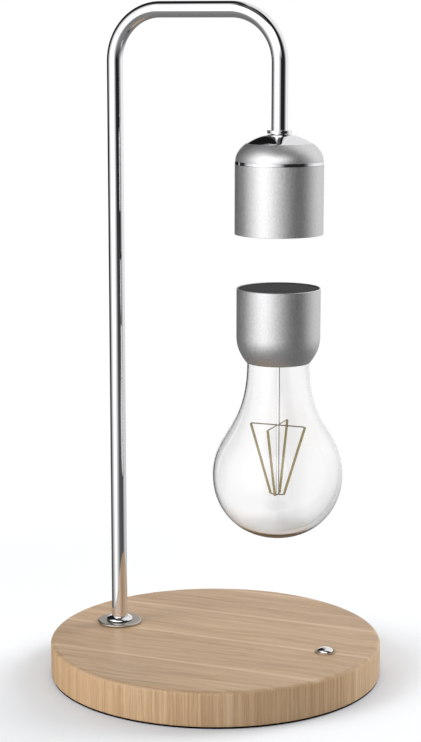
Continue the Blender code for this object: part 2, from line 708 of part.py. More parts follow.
# Bulb cup: the satin shell that floats, straight above and drawn in below to the neck of the glass
cup_wall = 0.0009
cup_draw = 0.0062
cup_shoulder = 0.0155
cup_lip = 0.0005
shoulder_high_handle_share = 0.42
shoulder_low_handle_shares = (0.50, 0.27)
shoulder_points = 7
neck_radius = cup_radius - cup_draw
cup_bore = cup_radius - cup_wall
cup_mouth = neck_radius + seat_gap
mouth_outer = cup_mouth + cup_lip
shoulder_level = cup_bottom + cup_shoulder
upper_handle = (0, -cup_shoulder * shoulder_high_handle_share)
lower_handle = (cup_draw * shoulder_low_handle_shares[0], cup_shoulder * shoulder_low_handle_shares[1])
shoulder_start = (cup_radius, shoulder_level)
shoulder_end = (mouth_outer, cup_bottom + cup_lip)
cup_slope = bezier(shoulder_start, upper_handle, lower_handle, shoulder_end, shoulder_points)
bore_start = (cup_bore, shoulder_level)
bore_end = (cup_mouth, cup_bottom + cup_lip + cup_wall)
bore_slope = bezier(bore_start, upper_handle, lower_handle, bore_end, shoulder_points)
cup_outline = [(cup_bore, cup_rim), (cup_radius, cup_rim), *cup_slope]
cup_outline += [(cup_mouth, cup_bottom), *reversed(bore_slope)]
turned("bulb_cup", cup_outline, satin, drop_x, sides=shell_sides)

# Inside the cup, from the top: lid, lifting magnet and receiving coil in their holder, board, neck ring
lid_recess = 0.0010
lid_thickness = 0.0020
magnet_radius = 0.0140
magnet_thickness = 0.0080
holder_floor = 0.0015
holder_wall = 0.0018
holder_rim = 0.0010
holder_foot = 0.0019
holder_foot_inset = 0.0020
receiver_height = 0.0042
neck_depth = 0.0200
neck_cap = 0.0020
neck_cap_width = 0.0025
neck_wall = 0.0018
insert_radius = cup_bore - seat_gap
lid_high = cup_rim - lid_recess
lid_low = lid_high - lid_thickness
disc("cup_lid", insert_radius, lid_low, lid_high, lid_black, drop_x, sides=shell_sides)
holder_high = lid_low - seat_gap
magnet_low = holder_high - magnet_thickness
disc("lifting_magnet", magnet_radius, magnet_low, holder_high, magnet_grey, drop_x, sides=inner_sides)
holder_bed = magnet_low - seat_gap
holder_low = holder_bed - holder_floor
holder_end = holder_low - holder_foot
magnet_pocket = magnet_radius + seat_gap
coil_pocket = magnet_pocket + holder_wall
rim_inner = insert_radius - holder_rim
foot_inner = insert_radius - holder_foot_inset
holder_outline = [(0, holder_bed), (magnet_pocket, holder_bed), (magnet_pocket, holder_high)]
holder_outline += [(coil_pocket, holder_high), (coil_pocket, holder_bed), (rim_inner, holder_bed)]
holder_outline += [(rim_inner, holder_high), (insert_radius, holder_high), (insert_radius, holder_end)]
holder_outline += [(foot_inner, holder_end), (foot_inner, holder_low), (0, holder_low)]
turned("magnet_holder", holder_outline, black, drop_x, sides=inner_sides)
coil_low = holder_bed + seat_gap
receiver = (coil_pocket + seat_gap, rim_inner - seat_gap, coil_low, coil_low + receiver_height)
ring("receiver_coil", *receiver, copper, drop_x, sides=inner_sides)
receiver_high = holder_end - seat_gap
receiver_low = receiver_high - board_thickness
disc("receiver_board", insert_radius, receiver_low, receiver_high, board, drop_x, sides=inner_sides)
neck_top = cup_bottom + neck_depth
neck_seat = neck_top + seat_gap
neck_ring_high = receiver_low - seat_gap
neck_ring_low = shoulder_level + seat_gap
neck_hole = neck_radius + seat_gap
neck_outline = [(insert_radius - neck_wall, neck_ring_high), (insert_radius, neck_ring_high)]
neck_outline += [(insert_radius, neck_ring_low), (neck_hole, neck_ring_low), (neck_hole, neck_seat)]
neck_outline += [(neck_hole - neck_cap_width, neck_seat), (neck_hole - neck_cap_width, neck_seat + neck_cap)]
neck_outline += [(insert_radius - neck_wall, neck_seat + neck_cap)]
turned("neck_ring", neck_outline, black, drop_x, sides=inner_sides)

# Glass: a globe, a little fuller and flatter below, that draws in to a straight neck held in the cup
glass_wall = 0.0009
globe_flat_share = 0.99
globe_fullness = 0.95
globe_turn = math.radians(17)
globe_handle = 0.0170
neck_handle = 0.0339
globe_steps = 8
neck_points = 8


def bulb_outline(inset):
    """Points of the glass from its lowest point up to its neck, drawn in from the outside by inset."""
    radius = globe_radius - inset
    centre = glass_bottom + globe_radius * globe_flat_share
    points = []
    for step in range(globe_steps + 1):
        angle = math.pi / 2 * (1 - step / globe_steps)
        out = math.cos(angle) ** globe_fullness
        down = math.sin(angle) ** globe_fullness
        points.append((radius * out, centre - radius * globe_flat_share * down))
    points[0] = (0, centre - radius * globe_flat_share)
    leaving = (radius * math.cos(globe_turn), centre + radius * math.sin(globe_turn))
    start_handle = (-globe_handle * math.sin(globe_turn), globe_handle * math.cos(globe_turn))
    neck = (neck_radius - inset, cup_bottom)
    points += bezier(leaving, start_handle, (0, -neck_handle), neck, neck_points)
    points.append((neck_radius - inset, neck_top))
    return points


turned("glass_bulb", bulb_outline(0.0) + bulb_outline(glass_wall)[::-1], clear, drop_x, sides=shell_sides)

# Stem: a thin glass rod down the middle, flared at the top to close the neck
stem_radius = 0.0011
stem_clearance = 0.0255
flare_radius = 0.0050
flare_height = 0.0100
flare_disc = 0.0015
stem_low = glass_bottom + stem_clearance
flare_low = neck_top - flare_disc - seat_gap
flare_outline = [(0, flare_low + flare_disc), (neck_radius - glass_wall - seat_gap, flare_low + flare_disc)]
flare_outline += [(neck_radius - glass_wall - seat_gap, flare_low), (flare_radius, flare_low)]
flare_outline += [(stem_radius, flare_low - flare_height), (stem_radius, stem_low), (0, stem_low)]
turned("glass_stem", flare_outline, clear, drop_x, sides=screw_sides)

# Filaments: four golden rods that lean out from a hub below the stem to the cross of wires above
filament_radius = 0.00075
filament_top_reach = 0.0170
filament_low_reach = 0.0041
filament_rise = 0.0424
wire_width = 0.0006
cross_hub_radius = 0.0020
hub_high = stem_low - seat_gap
hub_low = hub_high - wire_width
filament_low = (hub_low + hub_high) / 2
filament_high = filament_low + filament_rise
quarters = (3, 93, 183, 273)
low_places = on_circle(filament_low_reach, quarters, drop_x)
high_places = on_circle(filament_top_reach, quarters, drop_x)
for number, (low_place, high_place) in enumerate(zip(low_places, high_places), 1):
    filament_route = [(*low_place, filament_low), (*high_place, filament_high)]
    wire(f"filament_{number}", filament_route, filament_radius, gold)


def star(name, reach, low, high, material):
    """A flat hub with four straight arms, which end short of the filaments that they hold."""
    arm = reach - filament_radius - seat_gap
    half = wire_width / 2
    outline = []
    for angle in quarters:
        turn = Matrix.Rotation(math.radians(angle), 2)
        for along, across in ((cross_hub_radius, -half), (arm, -half), (arm, half), (cross_hub_radius, half)):
            outline.append(tuple(turn @ Vector((along, across))))
    return prism(name, outline, low, high, material, drop_x)


star("filament_hub", filament_low_reach, hub_low, hub_high, steel)
cross_low = filament_high - wire_width / 2
cross_high = filament_high + wire_width / 2
cross = star("filament_cross", filament_top_reach, cross_low, cross_high, steel)
stem_hole = stem_radius + seat_gap
cut(cross, disc("stem_hole", stem_hole, cross_low - cut_overrun, cross_high + cut_overrun, steel, drop_x))
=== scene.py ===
"""A levitating bulb lamp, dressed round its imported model. Metres, +Z up, origin under the base."""
import math

import bpy
from mathutils import Matrix
from mathutils import Vector
from mathutils.geometry import interpolate_bezier


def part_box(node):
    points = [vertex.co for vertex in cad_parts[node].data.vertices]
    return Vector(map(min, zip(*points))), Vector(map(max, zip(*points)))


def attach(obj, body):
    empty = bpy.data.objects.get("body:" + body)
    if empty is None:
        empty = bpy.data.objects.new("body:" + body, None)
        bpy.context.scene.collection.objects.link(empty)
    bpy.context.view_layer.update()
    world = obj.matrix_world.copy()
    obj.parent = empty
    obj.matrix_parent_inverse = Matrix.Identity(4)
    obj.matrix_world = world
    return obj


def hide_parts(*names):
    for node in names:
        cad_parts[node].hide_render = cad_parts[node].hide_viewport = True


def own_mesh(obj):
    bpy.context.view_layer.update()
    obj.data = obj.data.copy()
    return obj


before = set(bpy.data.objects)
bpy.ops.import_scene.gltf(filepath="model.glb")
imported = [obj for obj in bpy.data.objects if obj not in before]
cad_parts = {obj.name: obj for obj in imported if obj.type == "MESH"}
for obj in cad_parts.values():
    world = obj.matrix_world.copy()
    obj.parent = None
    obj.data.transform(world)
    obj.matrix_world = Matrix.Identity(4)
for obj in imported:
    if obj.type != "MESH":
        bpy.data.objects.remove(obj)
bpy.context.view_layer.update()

# Camera: stands 1.12 m from the base, a little below the top of the arm, and looks slightly down.
# The lamp is turned 25 degrees from the picture plane, and nothing is shifted.
camera_turn = math.radians(25.011)
camera_pitch = math.radians(10.392)
camera_distance = 1.11654
camera_height = 0.39069
camera_side = -0.00303
camera_lens = 92.64
film_width = 36
camera_x = camera_side * math.cos(camera_turn) + camera_distance * math.sin(camera_turn)
camera_y = camera_side * math.sin(camera_turn) - camera_distance * math.cos(camera_turn)
camera_aim = (math.pi / 2 - camera_pitch, 0, camera_turn)
bpy.ops.object.camera_add(location=(camera_x, camera_y, camera_height), rotation=camera_aim)
camera = bpy.context.object
camera.name = "camera"
camera.data.lens = camera_lens
camera.data.sensor_width = film_width
bpy.context.scene.camera = camera
bpy.context.scene.view_settings.view_transform = "Standard"


# Floor: a wide sheet of white paper that takes the lamp's soft shadow, and goes over into plain white
# further out. Metal and glass don't see it, because the painted room below has a floor of its own.
def linear(colour):
    """A colour of six sRGB hex digits as linear light."""
    channels = [int(colour[i:i + 2], 16) / 255 for i in (0, 2, 4)]
    return [c / 12.92 if c <= 0.04045 else ((c + 0.055) / 1.055) ** 2.4 for c in channels] + [1]


def node(tree, kind, inputs=None, marks=(), **settings):
    """Adds a node with its settings and links. Marks are places from 0 to 1, with a grey or a colour."""
    made = tree.nodes.new("ShaderNode" + kind)
    for name, value in settings.items():
        setattr(made, name, value)
    for socket, value in (inputs or {}).items():
        if isinstance(value, bpy.types.NodeSocket):
            tree.links.new(value, made.inputs[socket])
        else:
            made.inputs[socket].default_value = value
    for number, (place, value) in enumerate(marks):
        elements = made.color_ramp.elements
        if number == 0:
            elements.remove(elements[-1])
        mark = elements.new(place) if number else elements[0]
        mark.position = place
        mark.color = value if isinstance(value, list) else (value, value, value, 1)
    return made


floor_radius = 4.0
floor_sides = 96
shade_reach = 0.05
shadow_end = 0.20
white_from = 0.42
bpy.ops.object.select_all(action="DESELECT")
bpy.ops.mesh.primitive_circle_add(vertices=floor_sides, radius=floor_radius, fill_type="NGON",
                                  location=(0, 0, 0))
floor = bpy.context.object
floor.name = "floor"
floor.visible_glossy = False
floor.visible_transmission = False

# Uncoated white paper, rolled smooth: it has no gloss. Close by the base an occlusion node darkens its
# colour to a cool grey, a painted shade where less light reaches it. Its fibres are far too fine to show, so
# it carries no pattern.
floor_paper = bpy.data.materials.new("white_paper_floor")
floor_paper.use_nodes = True
tree = floor_paper.node_tree
tree.nodes.clear()
open_share = node(tree, "AmbientOcclusion", {"Distance": shade_reach}, samples=8)
# Painted shade: the paper's colour runs from cool grey close by the base to white in the open.
painted_shade_tones = [(0.42, linear("D1D7DF")), (0.92, linear("F0F2F4"))]
tone = node(tree, "ValToRGB", {0: open_share.outputs["AO"]}, marks=painted_shade_tones)
matt = node(tree, "BsdfDiffuse", {"Color": tone.outputs[0]})
place = node(tree, "TexCoord").outputs["Object"]
reach = node(tree, "VectorMath", {0: place}, operation="LENGTH")
away = node(tree, "MapRange", {"Value": reach.outputs["Value"], 1: shadow_end, 2: white_from},
            interpolation_type="SMOOTHSTEP")
seen = node(tree, "LightPath").outputs["Is Camera Ray"]
far_share = node(tree, "Math", {0: away.outputs[0], 1: seen}, operation="MULTIPLY")
plain = node(tree, "Emission", {"Color": linear("FFFFFF"), "Strength": 1.0})
paper = node(tree, "MixShader", {0: far_share.outputs[0], 1: matt.outputs[0], 2: plain.outputs[0]})
node(tree, "OutputMaterial", {"Surface": paper.outputs[0]})
floor.data.materials.append(floor_paper)


# Room: metal mirrors the walls of a studio, painted into the world by their bearing, which is 0 towards
# the camera and 90 on the right: a lit screen at the left front, a black wall at the right front, a dark
# corner behind at the left, a white wall from the right to the back, and a grey floor.
def by_bearing(*levels):
    """Marks of a ramp that goes once round the room, from grey levels at bearings in degrees."""
    return [((bearing + 180) / 360, level) for bearing, level in levels]


screen_light = 2.3
wall_light = 1.05
dark_corner = [(-180, 0.40), (-173, 0.01), (-150, 0.01), (-105, 0.03)]
left_wall = [(-97, 0.44), (-88, 0.84), (-76, 1.0)]
lit_screen = [(-65, 1.45), (-50, screen_light), (-35, screen_light), (-20, 1.25), (2, 0.52), (8, 0.20)]
black_wall = [(13, 0.04), (20, 0.018), (61, 0.018), (70, 0.12)]
white_wall = [(80, 0.52), (90, 0.80), (100, wall_light), (125, wall_light)]
back_wall = [(145, 0.90), (172, 0.90), (180, 0.40)]
wall_marks = by_bearing(*dark_corner, *left_wall, *lit_screen, *black_wall, *white_wall, *back_wall)
floor_marks = by_bearing((-180, 0.20), (-100, 0.20), (-60, 0.27), (-20, 0.23), (20, 0.25), (70, 0.13),
                         (110, 0.20), (150, 0.26), (180, 0.20))
world = bpy.data.worlds.new("studio")
bpy.context.scene.world = world
world.use_nodes = True
tree = world.node_tree
tree.nodes.clear()
direction = node(tree, "TexCoord").outputs["Generated"]
ahead = node(tree, "VectorRotate", {"Vector": direction, "Angle": -camera_turn}, rotation_type="Z_AXIS")
parts = node(tree, "SeparateXYZ", {0: ahead.outputs[0]})
towards = node(tree, "Math", {0: parts.outputs["Y"], 1: -1.0}, operation="MULTIPLY")
bearing = node(tree, "Math", {0: parts.outputs["X"], 1: towards.outputs[0]}, operation="ARCTAN2")
turn = node(tree, "MapRange", {"Value": bearing.outputs[0], 1: -math.pi, 2: math.pi}).outputs[0]
height = node(tree, "MapRange", {"Value": parts.outputs["Z"], 1: -1.0, 2: 1.0}).outputs[0]
walls = node(tree, "ValToRGB", {0: turn}, marks=wall_marks)
ground = node(tree, "ValToRGB", {0: turn}, marks=floor_marks)

# A raised light fills the front of the room from just above eye level, and the ceiling overhead, towards
# the camera, is dark. Straight ahead of the camera, a white backdrop stands behind the lamp.
front_light = 2.3
front_marks = by_bearing((-35, 0.0), (-18, 1.0), (9, 1.0), (30, 0.0))
front = node(tree, "ValToRGB", {0: turn}, marks=front_marks)
lifted = node(tree, "MapRange", {"Value": parts.outputs["Z"], 1: 0.05, 2: 0.35})
front_share = node(tree, "Math", {0: front.outputs[0], 1: lifted.outputs[0]}, operation="MULTIPLY")
walls = node(tree, "Mix", {0: front_share.outputs[0], 6: walls.outputs[0], 7: [front_light] * 3 + [1]},
             data_type="RGBA")
above = node(tree, "ValToRGB", {0: height}, marks=[(0.25, 0.0), (0.46, 1.0)])
room = node(tree, "Mix", {0: above.outputs[0], 6: ground.outputs[0], 7: walls.outputs[2]}, data_type="RGBA")
ceiling_aim = (0.0, -0.35, 0.94)
overhead = node(tree, "VectorMath", {0: ahead.outputs[0], 1: ceiling_aim}, operation="DOT_PRODUCT")
ceiling = node(tree, "ValToRGB", {0: overhead.outputs["Value"]}, marks=[(0.83, 1.0), (0.92, 0.05)])
room = node(tree, "Mix", {0: 1.0, 6: room.outputs[2], 7: ceiling.outputs[0]}, data_type="RGBA",
            blend_type="MULTIPLY")
backdrop = node(tree, "ValToRGB", {0: parts.outputs["Y"]}, marks=[(0.93, 0.0), (0.96, 1.0)])
room = node(tree, "Mix", {0: backdrop.outputs[0], 6: room.outputs[2], 7: linear("FFFFFF")}, data_type="RGBA")

# Glass looks into a lighter room of its own, so that it stays clear. Only the dark corner draws its
# edges, and the backdrop has a faint dim stripe, a little to the right of the middle.
glass_marks = by_bearing((-180, 0.40), (-173, 0.01), (-150, 0.01), (-110, 0.03), (-94, 0.66), (-80, 0.82),
                         (85, 0.82), (105, 1.0), (125, 1.0), (145, 0.90), (172, 0.90), (180, 0.40))
stripe_marks = [(0.20, 1.0), (0.36, 0.88), (0.50, 0.90), (0.62, 1.0)]
rays = node(tree, "LightPath")
through = node(tree, "ValToRGB", {0: turn}, marks=glass_marks)
horizon = node(tree, "ValToRGB", {0: height}, marks=[(0.27, 0.0), (0.42, 1.0)])
through = node(tree, "Mix", {0: horizon.outputs[0], 6: linear("C8C8C8"), 7: through.outputs[0]},
               data_type="RGBA")
aside = node(tree, "MapRange", {"Value": parts.outputs["X"], 1: 0.0, 2: 0.1})
stripe = node(tree, "ValToRGB", {0: aside.outputs[0]}, marks=stripe_marks)
through = node(tree, "Mix", {0: backdrop.outputs[0], 6: through.outputs[2], 7: stripe.outputs[0]},
               data_type="RGBA")
room = node(tree, "Mix", {0: rays.outputs["Is Transmission Ray"], 6: room.outputs[2], 7: through.outputs[2]},
            data_type="RGBA")

# Matt surfaces get a soft surround, brightest at the left front and dimmest at the right front. The kind
# of ray decides which of the rooms it sees, and the camera sees plain white.
soft_marks = by_bearing((-180, 0.35), (-120, 0.25), (-95, 0.8), (-80, 1.3), (-35, 1.35), (-10, 0.5),
                        (30, 0.15), (75, 0.15), (95, 0.7), (115, 1.1), (150, 0.95), (180, 0.35))
soft = node(tree, "ValToRGB", {0: turn}, marks=soft_marks)
raised = node(tree, "ValToRGB", {0: height}, marks=[(0.70, 0.0), (0.90, 1.0)])
soft_room = node(tree, "Mix", {0: raised.outputs[0], 6: soft.outputs[0], 7: linear("B3B3B3")},
                 data_type="RGBA")
spread = node(tree, "Background", {"Color": soft_room.outputs[2], "Strength": 1.0})
mirrored = node(tree, "Background", {"Color": room.outputs[2], "Strength": 1.0})
white = node(tree, "Background", {"Color": linear("FFFFFF"), "Strength": 1.0})
sharp_ray = node(tree, "Math", {0: rays.outputs["Is Glossy Ray"], 1: rays.outputs["Is Transmission Ray"]},
                 operation="MAXIMUM")
indoors = node(tree, "MixShader", {0: sharp_ray.outputs[0], 1: spread.outputs[0], 2: mirrored.outputs[0]})
camera_ray = rays.outputs["Is Camera Ray"]
around = node(tree, "MixShader", {0: camera_ray, 1: indoors.outputs[0], 2: white.outputs[0]})
node(tree, "OutputWorld", {"Surface": around.outputs[0]})

# Lamps: two large soft boxes, one at the left front and one behind at the right, aimed at the base.
# They light matt surfaces alone, because metal and glass already see the painted rooms.
lamp_size = 0.8
lamp_target = Vector((0, 0, 0.05))
lamps = [("left_lamp", (-1.05, -0.42, 0.78), 10.0), ("back_lamp", (1.05, 0.54, 0.75), 14.2)]
for name, spot, power in lamps:
    place = Matrix.Rotation(camera_turn, 3, "Z") @ Vector(spot)
    aim = (lamp_target - place).to_track_quat("-Z", "Y").to_euler()
    bpy.ops.object.light_add(type="AREA", location=place, rotation=aim)
    lamp = bpy.context.object
    lamp.name = name
    lamp.data.size = lamp_size
    lamp.data.energy = power
    lamp.visible_glossy = False
    lamp.visible_transmission = False


# Wooden base: light oak strips glued side by side, turned to a disc with an eased top edge and
# finished with satin lacquer. Its rim has a round mouth at the back for the plug of the power lead.
def turned(name, outline, x=0.0, sides=128, edge=0.0):
    """Turns a piece on the lathe from (radius, height) points, and eases its corners by edge."""
    bpy.ops.object.select_all(action="DESELECT")
    radius, level = outline[0]
    bpy.ops.mesh.primitive_plane_add(size=0.001, location=(x + radius, 0, level))
    piece = bpy.context.object
    piece.name = name
    piece.data.name = name
    bpy.ops.object.mode_set(mode="EDIT")
    bpy.ops.mesh.merge(type="CENTER")
    for (last_radius, last_level), (radius, level) in zip(outline, outline[1:]):
        step = (radius - last_radius, 0, level - last_level)
        bpy.ops.mesh.extrude_region_move(TRANSFORM_OT_translate={"value": step})
    bpy.ops.mesh.select_all(action="SELECT")
    bpy.ops.mesh.spin(steps=sides, angle=math.tau, center=(x, 0, 0), axis=(0, 0, 1))
    bpy.ops.mesh.select_all(action="SELECT")
    bpy.ops.mesh.remove_doubles(threshold=weld_distance)
    bpy.ops.mesh.normals_make_consistent(inside=False)
    bpy.ops.object.mode_set(mode="OBJECT")
    bpy.ops.object.transform_apply(location=True, rotation=True, scale=True)
    if edge:
        eased = piece.modifiers.new("eased", "BEVEL")
        eased.width = edge
        eased.segments = 3
        eased.limit_method = "ANGLE"
        eased.angle_limit = math.radians(40)
        bpy.ops.object.modifier_apply(modifier=eased.name)
    bpy.ops.object.shade_smooth_by_angle(angle=smooth_angle)
    if edge:
        evened(piece)
    return piece


def evened(piece):
    """Lets the large faces set the shading at a rounded edge, so that flat walls look flat."""
    even = piece.modifiers.new("even", "WEIGHTED_NORMAL")
    even.keep_sharp = True
    bpy.context.view_layer.objects.active = piece
    bpy.ops.object.modifier_apply(modifier=even.name)


def arc(corner, before, after, radius, steps=6):
    """The points that round off a square corner of an outline."""
    corner, before, after = Vector(corner), Vector(before), Vector(after)
    start = corner + (before - corner).normalized() * radius
    end = corner + (after - corner).normalized() * radius
    centre = start + end - corner
    turns = [math.pi / 2 * step / steps for step in range(steps + 1)]
    return [tuple(centre + (start - centre) * math.cos(t) + (end - centre) * math.sin(t)) for t in turns]


def dressed(piece, body, *nodes, finish, slot):
    """Gives a finished piece its material and body, and hides the CAD nodes that it stands for."""
    piece.data.materials.clear()
    piece.data.materials.append(finish)
    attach(piece, body)
    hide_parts(*nodes)


def surface(name, colour, roughness, metallic=0.0):
    """Starts a material, and returns it with its tree, its shader and the piece's own coordinates."""
    made = bpy.data.materials.new(name)
    made.use_nodes = True
    shader = made.node_tree.nodes["Principled BSDF"]
    shader.inputs["Base Color"].default_value = linear(colour)
    shader.inputs["Roughness"].default_value = roughness
    shader.inputs["Metallic"].default_value = metallic
    return made, made.node_tree, shader, node(made.node_tree, "TexCoord").outputs["Object"]


def per_metre(size):
    """The scale that draws a pattern in patches of this size in millimetres."""
    return 1000 / size


weld_distance = 0.000002
smooth_angle = math.radians(35)
low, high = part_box("wooden_base")
base_radius = (high.x - low.x) / 2
base_sides = 192
wood_top = high.z
wood_bottom = low.z
top_rounding = 0.0024
foot_bevel = 0.0004
plate_seat = 0.0925
plate_level = 0.0038
pocket_radius = 0.0820
pocket_level = 0.0174
top_ring = base_radius * 0.6
corner = arc((base_radius, wood_top), (0, wood_top), (base_radius, 0), top_rounding)
outline = [(0, wood_top), (top_ring, wood_top), *corner, (base_radius, wood_bottom + foot_bevel)]
outline += [(base_radius - foot_bevel, wood_bottom), (plate_seat, wood_bottom), (plate_seat, plate_level)]
outline += [(pocket_radius, plate_level), (pocket_radius, pocket_level), (0, pocket_level)]
wood = turned("oak_base", outline, sides=base_sides)
post_low, post_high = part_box("post_rosette")
post_x = (post_low.x + post_high.x) / 2
cap_low, cap_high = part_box("button_cap")
button_x = (cap_low.x + cap_high.x) / 2
inlet_low, inlet_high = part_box("power_inlet")
inlet_level = (inlet_low.z + inlet_high.z) / 2
plug_mouth = 0.0045
mouth_depth = 0.0110
post_hole = 0.0051
button_hole = 0.0060
drilled_depth = 0.0200
drill_sides = 48
sideways = (0, math.pi / 2, 0)
holes = [("mouth", plug_mouth, (-base_radius, 0, inlet_level), sideways, mouth_depth)]
holes += [("post_hole", post_hole, (post_x, 0, wood_top), (0, 0, 0), drilled_depth)]
holes += [("button_hole", button_hole, (button_x, 0, wood_top), (0, 0, 0), drilled_depth)]
for name, radius, place, lean, depth in holes:
    bpy.ops.object.select_all(action="DESELECT")
    bpy.ops.mesh.primitive_cylinder_add(vertices=drill_sides, radius=radius, depth=depth, location=place,
                                        rotation=lean)
    drill = bpy.context.object
    hole = wood.modifiers.new(name, "BOOLEAN")
    hole.operation = "DIFFERENCE"
    hole.solver = "EXACT"
    hole.object = drill
    bpy.context.view_layer.objects.active = wood
    bpy.ops.object.modifier_apply(modifier=hole.name)
    bpy.data.objects.remove(drill, do_unlink=True)
evened(wood)

# Oak, sanded and lacquered: a warm brown with a satin sheen. Its strips are 48 mm wide, differ a little
# in tone and meet in pale glue lines. They lie a little askew to the arm.
strip_turn = math.radians(-2.7)
half_board = 0.1
strip_joints = (0.24, 0.48, 0.72, 0.96)
strip_tones = [(0.0, 0.62), (0.24, 0.52), (0.48, 0.62), (0.72, 0.50), (0.96, 0.60)]
glue_width = 0.012
rim_joints = (0.083, 0.324, 0.465, 0.667, 0.861)
rim_strip_tones = [(0.0, 0.58), (0.083, 0.54), (0.324, 0.50), (0.465, 0.62), (0.667, 0.52), (0.861, 0.58)]
rim_glue_width = 0.004


def glue_marks(joints, width):
    """Marks of a ramp that rises from 0 to 1 at each joint, and falls back again within width."""
    lines = [(0.0, 0.0)]
    for joint in joints:
        lines += [(joint - width, 0.0), (joint, 1.0), (joint + width, 0.0)]
    return lines


oak, tree, shader, place = surface("lacquered_oak", "B89C80", 0.45)
place = node(tree, "Mapping", {0: place, 2: (0, 0, strip_turn)}).outputs[0]
parts = node(tree, "SeparateXYZ", {0: place})
across = node(tree, "MapRange", {"Value": parts.outputs["Y"], 1: -half_board, 2: half_board}).outputs[0]
strips = node(tree, "ValToRGB", {0: across}, marks=strip_tones)
strips.color_ramp.interpolation = "CONSTANT"
glue = node(tree, "ValToRGB", {0: across}, marks=glue_marks(strip_joints, glue_width))
bearing = node(tree, "Math", {0: parts.outputs["Y"], 1: parts.outputs["X"]}, operation="ARCTAN2")
along = node(tree, "MapRange", {"Value": bearing.outputs[0], 1: -math.pi, 2: math.pi}).outputs[0]
rim_glue = node(tree, "ValToRGB", {0: along}, marks=glue_marks(rim_joints, rim_glue_width))
rim_strips = node(tree, "ValToRGB", {0: along}, marks=rim_strip_tones)
rim_strips.color_ramp.interpolation = "CONSTANT"

# On top, growth rings 3.8 mm wide run along the strips and sway a little, and each strip has its own
# stretch of them. Its pores are drawn 0.77 mm wide, about twice as coarse as real ones, so that they show.
sway_size = (71.4286, 45.4545, 71.4286)
sway_reach = 0.016
ring_size = (76.9231, 3.84615, 76.9231)
pore_size = (11.1111, 0.769231, 11.1111)
apart = node(tree, "CombineXYZ", {0: strips.outputs[0], 2: strips.outputs[0]})
moved = node(tree, "VectorMath", {0: place, 1: apart.outputs[0]}, operation="ADD").outputs[0]
sway_place = node(tree, "Mapping", {0: moved, 3: [per_metre(size) for size in sway_size]})
sway = node(tree, "TexNoise", {"Vector": sway_place.outputs[0], "Scale": 1.0, "Detail": 1.0})
drift = node(tree, "Math", {0: sway.outputs[0], 1: sway_reach}, operation="MULTIPLY")
drift = node(tree, "CombineXYZ", {1: drift.outputs[0]})
wavy = node(tree, "VectorMath", {0: moved, 1: drift.outputs[0]}, operation="ADD")
ring_place = node(tree, "Mapping", {0: wavy.outputs[0], 3: [per_metre(size) for size in ring_size]})
figure = node(tree, "TexNoise",
              {"Vector": ring_place.outputs[0], "Scale": 1.0, "Detail": 6.0, "Roughness": 0.72})
pore_place = node(tree, "Mapping", {0: moved, 3: [per_metre(size) for size in pore_size]})
pores = node(tree, "TexNoise", {"Vector": pore_place.outputs[0], "Scale": 1.0, "Detail": 2.0})
top_tones = [(0.30, linear("9A7D5F")), (0.44, linear("AA8C6D")), (0.58, linear("B69877"))]
top_tones.append((0.75, linear("C0A383")))
top_tone = node(tree, "ValToRGB", {0: figure.outputs[0]}, marks=top_tones)
shade = node(tree, "Mix", {0: 0.35, 6: top_tone.outputs[0], 7: strips.outputs[0]}, data_type="RGBA",
             blend_type="SOFT_LIGHT")
pore_mark = node(tree, "ValToRGB", {0: pores.outputs[0]}, marks=[(0.30, 0.85), (0.44, 1.0)])
top_colour = node(tree, "Mix", {0: 1.0, 6: shade.outputs[2], 7: pore_mark.outputs[0]}, data_type="RGBA",
                  blend_type="MULTIPLY")

# The rim cuts the strips at their edges and ends, so it is paler and yellower, and its rings stand
# upright, 1.3 mm wide. Glue lines are pale all round, and the dark rings of the wood are a little duller.
rim_ring_size = (1.33333, 1.33333, 83.3333)
rim_place = node(tree, "Mapping", {0: moved, 3: [per_metre(size) for size in rim_ring_size]})
rim_figure = node(tree, "TexNoise",
                  {"Vector": rim_place.outputs[0], "Scale": 1.0, "Detail": 6.0, "Roughness": 0.85})
rim_tones = [(0.34, linear("A8835D")), (0.50, linear("BF9C76")), (0.66, linear("D6B68F"))]
rim_tone = node(tree, "ValToRGB", {0: rim_figure.outputs[0]}, marks=rim_tones)
rim_colour = node(tree, "Mix", {0: 0.30, 6: rim_tone.outputs[0], 7: rim_strips.outputs[0]},
                  data_type="RGBA", blend_type="SOFT_LIGHT")
facing = node(tree, "SeparateXYZ", {0: node(tree, "NewGeometry").outputs["Normal"]})
is_top = node(tree, "MapRange", {"Value": facing.outputs["Z"], 1: 0.15, 2: 0.85}).outputs[0]
colour = node(tree, "Mix", {0: is_top, 6: rim_colour.outputs[2], 7: top_colour.outputs[2]}, data_type="RGBA")
joints = node(tree, "Mix", {0: is_top, 6: rim_glue.outputs[0], 7: glue.outputs[0]}, data_type="RGBA")
glue_share = node(tree, "Math", {0: joints.outputs[2], 1: 0.50}, operation="MULTIPLY")
colour = node(tree, "Mix", {0: glue_share.outputs[0], 6: colour.outputs[2], 7: linear("DCC1A4")},
              data_type="RGBA")
tree.links.new(colour.outputs[2], shader.inputs["Base Color"])
gloss = node(tree, "MapRange", {"Value": figure.outputs[0], 3: 0.46, 4: 0.34})
tree.links.new(gloss.outputs[0], shader.inputs["Roughness"])
grain = node(tree, "Bump", {"Height": pores.outputs[0], "Strength": 0.25, "Distance": 0.0001})
tree.links.new(grain.outputs[0], shader.inputs["Normal"])
dressed(wood, "stand", "wooden_base", finish=oak, slot="oak")

# Foam pad: the thin black sheet of closed-cell foam that the lamp stands on, cut round and glued to
# the steel bottom. It shows as a dark line under the wood, and is made darker still as painted shade under
# the base.
low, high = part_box("anti_slip_pad")
pad_radius = (high.x - low.x) / 2
pad_edge = 0.0002
outline = [(0, low.z), (pad_radius, low.z), (pad_radius, high.z), (0, high.z)]
pad = turned("foam_pad", outline, sides=base_sides, edge=pad_edge)
